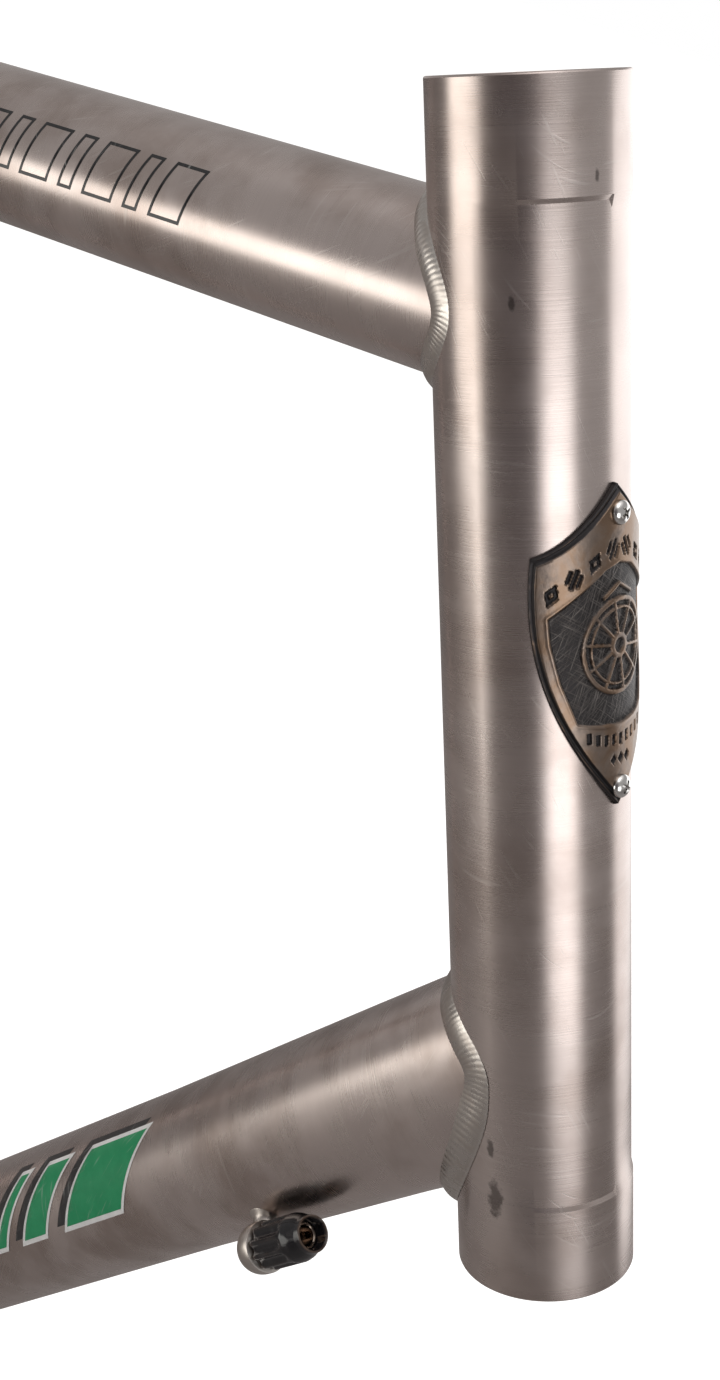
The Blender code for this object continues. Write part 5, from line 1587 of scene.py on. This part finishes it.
class ROADFRAME_OT_adjusters(bpy.types.Operator):
    """Make the domed bosses, fluted knobs and screws of the two cable adjusters"""

    bl_idname = "road_frame.adjusters"
    bl_label = "Cable Adjusters"

    def execute(self, context):
        for word, side in SIDES:
            place = adjuster_place(word, side)
            self.boss(word, place)
            self.knob(word, place)
            self.barrel(word, place)
            self.seat(word, place)
        return {"FINISHED"}

    def boss(self, word, place):
        sizes = settings("adjuster")
        outer, rim = sizes.boss[0] / 2, sizes.boss[1]
        cable, thread = settings("fittings").cable / 2, sizes.thread / 2
        gap = 0.0003
        bottom = -rim - outer * math.sqrt(1 - (cable / outer) ** 2)
        profile = [(outer - 0.0004, -gap), (outer - 0.0001, -gap - 0.0001), (outer, -gap - 0.0004)]
        profile += [(outer * math.cos(a), -rim - outer * math.sin(a)) for a in quarter(18)[:-2]]
        depth = sizes.travel + 0.0015
        profile += [(cable + 0.0004, bottom), (cable, bottom + 0.0004), (cable, -depth)]
        profile += [(thread + gap, -depth), (thread + gap, -gap)]
        shape = bmesh.new()
        turned(shape, place, profile, 80)
        stem = bmesh.new()
        self.stem(shape, place, outer)
        stem.free()
        finish = machined_titanium("boss_titanium_" + word, place)
        finish_piece(shape, "adjuster_boss_domed_" + word, finish, "adjuster_boss_" + word, sharp=40)

    def stem(self, shape, place, outer):
        """The short foot that joins the boss to the down tube, flared by its weld."""
        stand = settings("adjuster").stand_off
        foot = place @ Matrix.Translation((0, 0, -0.0042)) @ Matrix.Rotation(-math.pi / 2, 4, "Y")
        levels = [
            (0.0040, 0.0027, 0.0030), (0.0058, 0.0026, 0.0030), (0.0068, 0.0027, 0.0032),
            (0.0074, 0.0031, 0.0037), (0.0081, 0.0038, 0.0046), (stand + 0.0004, 0.0044, 0.0055), (stand + 0.0016, 0.0046, 0.0058),
        ]
        rings = [
            ring_matrix(foot @ Matrix.Translation((0, 0, z)), half_z, half_y) for z, half_y, half_z in levels
        ]
        swept(shape, rings, 40)

    def knob(self, word, place):
        sizes = settings("adjuster")
        wide, length, mouth = sizes.knob[0] / 2, sizes.knob[1], sizes.knob[2] / 2
        socket, floor = sizes.socket[0] / 2, length - sizes.socket[1]
        hole = sizes.thread / 2 + 0.0003
        shoulder, lip = length - 0.0055, length - 0.0016
        side = [(wide, mix(shoulder, 0.0006, k / 20)) for k in range(21)]
        profile = [
            (mouth - 0.0007, length - 0.0003),
            (mouth - 0.0004, length),
            (mouth - 0.0001, length - 0.0001),
            (mouth, length - 0.0004),
            (mouth, lip),
            (mouth + 0.0001, lip - 0.0003),
            (mix(mouth, wide, 0.45), mix(lip, shoulder, 0.36)),
            (mix(mouth, wide, 0.82), mix(lip, shoulder, 0.70)),
            (wide - 0.0001, shoulder + 0.0003),
            *side,
            (wide - 0.0002, 0.0002),
            (wide - 0.0006, 0.0),
            (hole, 0.0),
            (hole, floor - 0.0025),
            (socket, floor - 0.0025),
            (socket, length - 0.0008),
        ]
        shape = bmesh.new()
        turned(shape, place, profile, sizes.flutes * 14)
        back = place.inverted()
        end = shoulder - 0.0010
        half_flute = 0.37 * math.tau / sizes.flutes * wide
        for vert in shape.verts:
            here = back @ vert.co
            if here.xy.length < wide - 0.0008 or here.z > shoulder:
                continue
            turn = (math.atan2(here.y, here.x) / math.tau * sizes.flutes) % 1.0
            across = abs(turn - 0.5) * math.tau / sizes.flutes * wide
            past_end = max(here.z - (end - half_flute), 0.0)
            off = math.hypot(across, past_end) / half_flute
            if off < 1:
                vert.co -= place.to_3x3() @ Vector((here.x, here.y, 0)).normalized() * 0.0009 * (1 - off**2) ** 0.7
        finish = once(plastic, "knob_plastic")
        node = "adjuster_knob_" + word
        piece = finish_piece(shape, node + "_fluted", finish, node, "adjuster_" + word, sharp=50)
        mouth_cut = rod(place, mouth - 0.0006, length - 0.0030, length + 0.001, 6)
        cut(piece, [mouth_cut])
        piece.data.set_sharp_from_angle(angle=math.radians(50))

    def barrel(self, word, place):
        sizes = settings("adjuster")
        cable, thread = settings("fittings").cable / 2, sizes.thread / 2
        collar, floor = sizes.socket[0] / 2 - 0.0003, sizes.knob[1] - sizes.socket[1]
        end = -sizes.travel - 0.0009
        profile = [(collar, floor), (collar, floor - 0.0022), (thread, floor - 0.0022), (thread, 0.0004)]
        turns = int((0.0004 - end) / sizes.pitch)
        for k in range(turns):
            z = 0.0004 - k * sizes.pitch
            profile += [(thread - 0.0003, z - sizes.pitch * 0.5), (thread + 0.0001, z - sizes.pitch)]
        profile += [(thread - 0.0004, end), (cable, end), (cable, floor)]
        shape = bmesh.new()
        turned(shape, place, profile, 48)
        node = "adjuster_barrel_" + word
        finish_piece(shape, node + "_threaded", once(brass, "barrel_brass"), node, "adjuster_" + word)

    def seat(self, word, place):
        sizes = settings("adjuster")
        cable, outer = settings("fittings").cable / 2, sizes.socket[0] / 2 - 0.0003
        floor = sizes.knob[1] - sizes.socket[1] + 0.0003
        inner, top = outer - 0.0006, floor + 0.0065
        profile = [
            (outer - 0.0001, top), (outer, top - 0.0002), (outer, floor), (cable, floor), (cable, floor + 0.0010),
            (inner - 0.0004, floor + 0.0010), (inner, floor + 0.0014), (inner, top - 0.0002), (inner + 0.0002, top),
        ]
        shape = bmesh.new()
        turned(shape, place, profile, 48)
        node = "adjuster_seat_" + word
        finish_piece(shape, node + "_cup", once(polished_steel, "seat_steel", (0.36, 0.29, 0.24)), node, node)


# ---------------------------------------------------------------- operators: small fittings


def bottle_places():
    """The four bottle mounts, each with local Z out of its tube."""
    sizes = settings("fittings")
    on_down, on_seat = sizes.bottle_from_bracket
    down_up = LEFT.cross(DOWN_BACK)
    for k, level in enumerate(("lower", "upper")):
        distance = on_down + k * sizes.bottle_spacing
        half_height, _ = down_section(down_length() - distance)
        yield "down_tube_" + level, axes(BRACKET - distance * DOWN_BACK + half_height * down_up, down_up)
        point = (on_seat + k * sizes.bottle_spacing) * SEAT_UP + settings("tubes").seat_outside / 2 * SEAT_FRONT
        yield "seat_tube_" + level, axes(BRACKET + point, SEAT_FRONT)


class ROADFRAME_OT_bottle_mounts(bpy.types.Operator):
    """Make the bottle bosses and their bolts"""

    bl_idname = "road_frame.bottle_mounts"
    bl_label = "Bottle Mounts"

    def execute(self, context):
        sizes = settings("fittings")
        flange, proud, bore = sizes.boss[0] / 2, sizes.boss[1], sizes.boss[2] / 2
        head, tall, shank = sizes.bolt[0] / 2, sizes.bolt[1], sizes.bolt[2] / 2
        for name, place in bottle_places():
            profile = [
                (flange - 0.0003, proud), (flange - 0.00005, proud - 0.0001), (flange, proud - 0.0004),
                (flange + 0.0003, 0.0003), (flange + 0.0008, -0.0002), (flange - 0.001, -0.0012),
                (bore, -0.0012), (bore, proud - 0.0003), (bore + 0.0003, proud),
            ]
            shape = bmesh.new()
            turned(shape, place, profile, 64)
            finish = machined_titanium("bottle_boss_titanium_" + name, place)
            finish_piece(shape, "bottle_boss_turned_" + name, finish, "bottle_boss_" + name)
            seat = place @ Matrix.Translation((0, 0, proud + 0.0003))
            profile = dome(head, tall * 0.7, 10, tall * 0.3) + [
                (head, 0.0002), (head - 0.0002, 0), (shank, 0), (shank, -0.009), (shank - 0.0004, -0.0094), (0, -0.0094)
            ]
            shape = bmesh.new()
            turned(shape, seat, profile, 56, closed=False)
            finish = once(polished_steel, "screw_steel")
            piece = finish_piece(shape, "bottle_bolt_turned_" + name, finish, "bottle_bolt_" + name)
            cut(piece, [rod(seat, 0.0023, tall * 0.3, tall * 2, 6)])
            piece.data.set_sharp_from_angle(angle=math.radians(35))
        return {"FINISHED"}


class ROADFRAME_OT_cable_stops(bpy.types.Operator):
    """Make the bullet cable stops and the guide under the bracket shell"""

    bl_idname = "road_frame.cable_stops"
    bl_label = "Cable Stops and Guide"

    def execute(self, context):
        sizes = settings("fittings")
        place = top_place()
        back = place.col[2].to_3d()
        under = back.cross(LEFT)
        out = math.cos(sizes.stop_angle) * under + math.sin(sizes.stop_angle) * LEFT
        stand = half_width("top_tube") + sizes.stop_stand_off
        for word, distance, forward in zip(("front", "rear"), sizes.top_stops, (-back, back)):
            origin = place.translation + distance * back + stand * out
            self.stop("brake_cable_stop_" + word, axes(origin, forward, forward.cross(out)))
        share = sizes.chainstay_share
        here, behind = chainstay_point(-1, share), chainstay_point(-1, share + 0.02)
        along = (behind - here).normalized()
        down = along.cross(Vector((0, 0, -1)).cross(along)).normalized()
        origin = here + (chainstay_radius(share) + sizes.stop_stand_off) * down
        self.stop("gear_cable_stop", axes(origin, along, along.cross(down)))
        guide = refined(
            "bracket_cable_guide", "cable_guide_moulded",
            once(plastic, "guide_plastic", (0.018, 0.018, 0.019), 0.42, (0.09, 0.088, 0.086)), 0.0006, 3,
        )
        refined("bracket_guide_screw", "guide_screw_polished", once(polished_steel, "screw_steel"), 0.0002)
        return {"FINISHED"}

    def stop(self, name, place):
        sizes = settings("fittings")
        outer, length, socket = sizes.stop[0] / 2, sizes.stop[1], sizes.stop[2] / 2
        cable = sizes.cable / 2
        nose = [(outer * math.cos(a), -length + outer - outer * math.sin(a)) for a in quarter(12)]
        nose = [(r, z) for r, z in nose if r > cable + 0.0003]
        tip = -length + outer - outer * math.sqrt(1 - (cable / outer) ** 2)
        profile = [(outer - 0.0003, 0.0), (outer, -0.0003), *nose, (cable, tip), (cable, -0.6 * length)]
        profile += [(socket, -0.6 * length), (socket, -0.0003), (socket + 0.0003, 0.0)]
        shape = bmesh.new()
        turned(shape, place, profile, 56)
        foot = place @ Matrix.Translation((0, 0, -0.0050)) @ Matrix.Rotation(-math.pi / 2, 4, "Y")
        levels = ((0.0028, 0.0018, 0.0036), (0.0038, 0.0018, 0.0037), (0.0046, 0.0024, 0.0043), (0.0056, 0.0036, 0.0052))
        rings = [ring_matrix(foot @ Matrix.Translation((0, 0, z)), half_z, half_y) for z, half_y, half_z in levels]
        swept(shape, rings, 40)
        finish = machined_titanium(name + "_titanium", place)
        finish_piece(shape, name + "_turned", finish, name)


class ROADFRAME_OT_seat_collar(bpy.types.Operator):
    """Make the seat collar with its bolt and barrel nut"""

    bl_idname = "road_frame.seat_collar"
    bl_label = "Seat Collar"

    def execute(self, context):
        sizes = settings("fittings")
        refined("seat_collar", "seat_collar_rounded", once(anodised, "collar_alloy"), 0.0004, 3)
        refined("seat_collar_bolt", "collar_bolt_turned", once(polished_steel, "screw_steel"), 0.0004, 3)
        refined("seat_collar_nut", "collar_nut_turned", once(polished_steel, "screw_steel"), 0.0003, 3)
        return {"FINISHED"}


# ---------------------------------------------------------------- operators: decals


def wrapped(shape, place, section, lift):
    """Wraps a flat shape in (round, along) metres onto a tube: local X of the shape runs round it."""
    for vert in shape.verts:
        half_height, half_width_here = section(vert.co.y)
        mean = (half_height + half_width_here) / 2
        angle = vert.co.x / mean
        local = Vector(((half_height + lift) * math.cos(angle), (half_width_here + lift) * math.sin(angle), vert.co.y))
        vert.co = place @ local


def sliced(shape, step):
    """Cuts a flat shape into narrow strips so that it can bend."""
    low = min(v.co.x for v in shape.verts)
    high = max(v.co.x for v in shape.verts)
    for k in range(1, int((high - low) / step) + 1):
        bmesh.ops.bisect_plane(
            shape, geom=shape.verts[:] + shape.edges[:] + shape.faces[:],
            plane_co=(low + k * step, 0, 0), plane_no=(1, 0, 0),
        )
    low = min(v.co.y for v in shape.verts)
    high = max(v.co.y for v in shape.verts)
    for k in range(1, int((high - low) / (step * 4)) + 1):
        bmesh.ops.bisect_plane(
            shape, geom=shape.verts[:] + shape.edges[:] + shape.faces[:],
            plane_co=(0, low + k * step * 4, 0), plane_no=(0, 1, 0),
        )


def slanted(shape, centre, size, slant, inset=0.0):
    """A slanted block: (round, along) centre and size, leaning by slant from one side to the other."""
    half_round, half_along = size[0] / 2 - inset, size[1] / 2 - inset
    corners = [(-1, -1), (1, -1), (1, 1), (-1, 1)]
    verts = []
    for x, y in corners:
        round_at = x * half_round
        verts.append(shape.verts.new((centre[0] + round_at, centre[1] + y * half_along + slant * round_at, 0)))
    shape.faces.new(verts)
    return verts


class ROADFRAME_OT_decals(bpy.types.Operator):
    """Lay plain slanted stripes on the down tube and outlined blocks on the top tube"""

    bl_idname = "road_frame.decals"
    bl_label = "Decals"

    def execute(self, context):
        self.down_tube()
        self.top_tube()
        return {"FINISHED"}

    def skin(self, name, colour, place, section, lift, blocks):
        shape = bmesh.new()
        for block in blocks:
            slanted(shape, *block)
        sliced(shape, 0.0009)
        wrapped(shape, place, section, lift)
        bmesh.ops.solidify(shape, geom=shape.faces[:], thickness=0.00004)
        piece = finish_piece(shape, name, once(film, colour[0], colour[1], place), sharp=60)
        return piece

    def down_tube(self):
        place = down_place()
        look = settings("finish")
        middle = -math.radians(66) * settings("tubes").down_round / 2
        stripes = []
        for k, length in enumerate((0.030, 0.014, 0.007)):
            along = 0.148 + (0.0, 0.031, 0.0495)[k]
            stripes.append(((middle, along), (0.0205, length), -0.85))
        black = [((m[0] + 0.0020, m[1] + 0.0024), s, t, 0.0) for m, s, t in stripes]
        white = [(m, s, t, 0.0) for m, s, t in stripes]
        green = [(m, s, t, 0.0013) for m, s, t in stripes]
        rows = (("black", (0.012, 0.012, 0.013), black), ("white", (0.78, 0.78, 0.77), white), ("green", look.decal_green, green))
        for k, (word, colour, blocks) in enumerate(rows):
            lift = 0.00006 + 0.00005 * k
            self.skin("decal_stripes_" + word, ("decal_" + word, tuple(colour)), place, down_section, lift, blocks)

    def top_tube(self):
        place = top_place()
        radius = half_width("top_tube")
        middle = -math.radians(70) * radius

        def section(_):
            return radius, radius

        shape = bmesh.new()
        line = 0.0007
        for k, length in enumerate((0.0095, 0.0045, 0.0095, 0.0045, 0.0095, 0.0045, 0.0095)):
            along = 0.0815 + 0.0105 * k
            outer = slanted(shape, (middle, along), (0.0125, length), -0.32)
            inner = slanted(shape, (middle, along), (0.0125, length), -0.32, line)
            for loop in (outer, inner):
                shape.faces.remove(loop[0].link_faces[0])
            for a, b in ((0, 1), (1, 2), (2, 3), (3, 0)):
                shape.faces.new((outer[a], outer[b], inner[b], inner[a]))
        sliced(shape, 0.0008)
        wrapped(shape, place, section, 0.00006)
        bmesh.ops.solidify(shape, geom=shape.faces[:], thickness=0.00004)
        finish_piece(shape, "decal_outlines", once(film, "decal_black", (0.012, 0.012, 0.013), place), sharp=60)


# ---------------------------------------------------------------- operator: studio


def softbox(name, centre, azimuth, elevation, size, distance, radiance, colour, fade=0.24):
    """A soft panel light that faces the frame from a direction, azimuth 0 being the front."""
    a, e = math.radians(azimuth), math.radians(elevation)
    away = Vector((math.cos(e) * math.cos(a), math.cos(e) * math.sin(a), math.sin(e)))
    data = bpy.data.lights.new(name, "AREA")
    data.shape = "RECTANGLE"
    data.size, data.size_y = size
    data.energy = radiance * size[0] * size[1] * math.pi * 1.35
    data.color = colour
    data.use_nodes = True
    w = Wiring(data.node_tree)
    across = w.node("SeparateXYZ", {"Vector": w.node("NewGeometry").outputs["Parametric"]})
    glow = 1.0
    for share in across.outputs[:2]:
        to_edge = w.math("SUBTRACT", 0.5, w.math("ABSOLUTE", w.math("SUBTRACT", share, 0.5)))
        glow = w.math("MULTIPLY", w.ramp(to_edge, 0.0, fade), glow)
    emission = next(n for n in data.node_tree.nodes if n.bl_idname == "ShaderNodeEmission")
    w.put(emission.inputs["Strength"], glow)
    light = bpy.data.objects.new(name, data)
    light.location = centre + distance * away
    light.rotation_mode = "QUATERNION"
    light.rotation_quaternion = away.to_track_quat("Z", "Y")
    light.visible_camera = False
    bpy.context.scene.collection.objects.link(light)
    return light


class ROADFRAME_OT_studio(bpy.types.Operator):
    """Set the camera, the soft panels, the pale surroundings and the floor"""

    bl_idname = "road_frame.studio"
    bl_label = "Studio"

    def execute(self, context):
        self.camera()
        self.surroundings()
        self.floor()
        self.panels()
        context.scene.view_settings.view_transform = "Standard"
        return {"FINISHED"}

    def camera(self):
        studio = settings("studio")
        data = bpy.data.cameras.new("camera")
        data.lens, data.sensor_width = studio.lens, 36
        data.clip_start, data.clip_end = 0.01, 50
        camera = bpy.data.objects.new("camera", data)
        bpy.context.scene.collection.objects.link(camera)
        up, front, right = studio.eye
        camera.location = head_top() + up * HEAD_UP + front * HEAD_FRONT - right * LEFT
        up, front, right = studio.aim
        ahead = (up * HEAD_UP + front * HEAD_FRONT - right * LEFT).normalized()
        above = (HEAD_UP - HEAD_UP.dot(ahead) * ahead).normalized()
        above = Matrix.Rotation(studio.roll, 3, ahead) @ above
        side = ahead.cross(above)
        turn = Matrix((side, above, -ahead)).transposed()
        camera.rotation_mode = "QUATERNION"
        camera.rotation_quaternion = turn.to_quaternion()
        bpy.context.scene.camera = camera

    def surroundings(self):
        """White where the camera sees it, and a dim warm room in the reflections."""
        world = bpy.data.worlds.new("studio")
        world.use_nodes = True
        bpy.context.scene.world = world
        world.node_tree.nodes.clear()
        w = Wiring(world.node_tree)
        direction = w.node("TexCoord").outputs["Generated"]
        split = w.node("SeparateXYZ", {"Vector": direction})
        x, y, z = split.outputs
        # darker where the photographer stands, brighter overhead
        toward = w.math("ADD", w.math("MULTIPLY", x, 0.22), w.math("MULTIPLY", y, -0.97))
        dark = w.ramp(toward, 0.50, 0.98, 1.0, 0.28)
        above = w.ramp(z, 0.62, 1.0, 0.0, 0.7)
        below = w.ramp(z, -0.75, -0.30, 0.7, 1.0)
        behind = w.math("MULTIPLY", w.ramp(x, -0.6, -0.95, 0.0, 0.42), w.ramp(w.math("ABSOLUTE", w.math("ADD", z, 0.3)), 0.12, 0.36, 1.0, 0.0))
        level = w.math("MULTIPLY", w.math("MULTIPLY", dark, below), 0.40)
        level = w.math("ADD", w.math("ADD", level, above), behind)
        tone = w.blend(dark, (1.0, 0.88, 0.93, 1), (1.0, 0.975, 0.965, 1))
        room = w.node("Background", {"Color": tone, "Strength": level})
        white = w.node("Background", {"Color": (1, 1, 1, 1), "Strength": 1.0})
        seen = w.node("LightPath").outputs["Is Camera Ray"]
        both = w.node("MixShader", {0: seen, 1: room.outputs[0], 2: white.outputs[0]})
        w.node("OutputWorld", {"Surface": both.outputs[0]})

    def floor(self):
        studio = settings("studio")
        shape = bmesh.new()
        bmesh.ops.create_grid(shape, x_segments=1, y_segments=1, size=6, matrix=Matrix.Translation((0, 0, studio.floor)))
        mesh = bpy.data.meshes.new("floor")
        shape.to_mesh(mesh)
        shape.free()
        floor = bpy.data.objects.new("floor", mesh)
        bpy.context.scene.collection.objects.link(floor)
        floor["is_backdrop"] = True
        material = bpy.data.materials.new("pale_floor")
        material.use_nodes = True
        material.node_tree.nodes.clear()
        w = Wiring(material.node_tree)
        pale = w.node("BsdfDiffuse", {"Color": (0.55, 0.54, 0.53, 1)})
        glow = w.node("Emission", {"Color": (1, 1, 1, 1), "Strength": 0.78})
        lit = w.node("AddShader", {0: pale.outputs[0], 1: glow.outputs[0]})
        dim = w.node("BsdfDiffuse", {"Color": (0.30, 0.285, 0.28, 1)})
        seen = w.node("LightPath").outputs["Is Camera Ray"]
        both = w.node("MixShader", {0: seen, 1: dim.outputs[0], 2: lit.outputs[0]})
        w.node("OutputMaterial", {"Surface": both.outputs[0]})
        mesh.materials.append(material)

    def panels(self):
        centre = (head_top() + head_foot()) / 2
        warm, neutral = (1.0, 0.985, 0.93), (1.0, 1.0, 1.0)
        softbox("panel_rear_right", centre, -127, -11, (2.1, 1.0), 2.2, 1.75, warm)
        softbox("panel_low_right", centre, -114, -31, (0.9, 0.9), 2.2, 1.5, warm)
        softbox("panel_front", centre, -21, -2, (1.35, 1.05), 1.4, 1.75, neutral, 0.34)
        softbox("panel_left", centre, 84, -8, (2.5, 1.5), 1.5, 1.0, neutral, 0.2)
        softbox("panel_top", centre, -60, 78, (1.6, 1.6), 1.8, 0.9, neutral)


# ---------------------------------------------------------------- panel and registration

OPERATORS = (
    ROADFRAME_OT_head_tube,
    ROADFRAME_OT_main_tubes,
    ROADFRAME_OT_bracket_shell,
    ROADFRAME_OT_stays,
    ROADFRAME_OT_dropouts,
    ROADFRAME_OT_welds,
    ROADFRAME_OT_badge,
    ROADFRAME_OT_adjusters,
    ROADFRAME_OT_bottle_mounts,
    ROADFRAME_OT_cable_stops,
    ROADFRAME_OT_seat_collar,
    ROADFRAME_OT_decals,
    ROADFRAME_OT_studio,
)


class ROADFRAME_PT_sidebar(bpy.types.Panel):
    """Lists the steps that build the frame's fine surfaces"""

    bl_label = "Road Frame"
    bl_idname = "ROADFRAME_PT_sidebar"
    bl_space_type = "VIEW_3D"
    bl_region_type = "UI"
    bl_category = "Road Frame"

    def draw(self, context):
        for operator in OPERATORS:
            self.layout.operator(operator.bl_idname)


def register():
    for name, group in SETTINGS.items():
        bpy.utils.register_class(group)
        setattr(bpy.types.Scene, name, PointerProperty(type=group))
    for cls in (*OPERATORS, ROADFRAME_PT_sidebar):
        bpy.utils.register_class(cls)


def unregister():
    for cls in reversed((*OPERATORS, ROADFRAME_PT_sidebar)):
        bpy.utils.unregister_class(cls)
    for name, group in SETTINGS.items():
        delattr(bpy.types.Scene, name)
        bpy.utils.unregister_class(group)


def main():
    register()
    for operator in OPERATORS:
        family, step = operator.bl_idname.split(".")
        getattr(getattr(bpy.ops, family), step)()
    boxes = {"cad": CAD_BOX, "visual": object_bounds()}
    {word: [list(corner_) for corner_ in box] for word, box in boxes.items()}


if __name__ == "__main__":
    main()
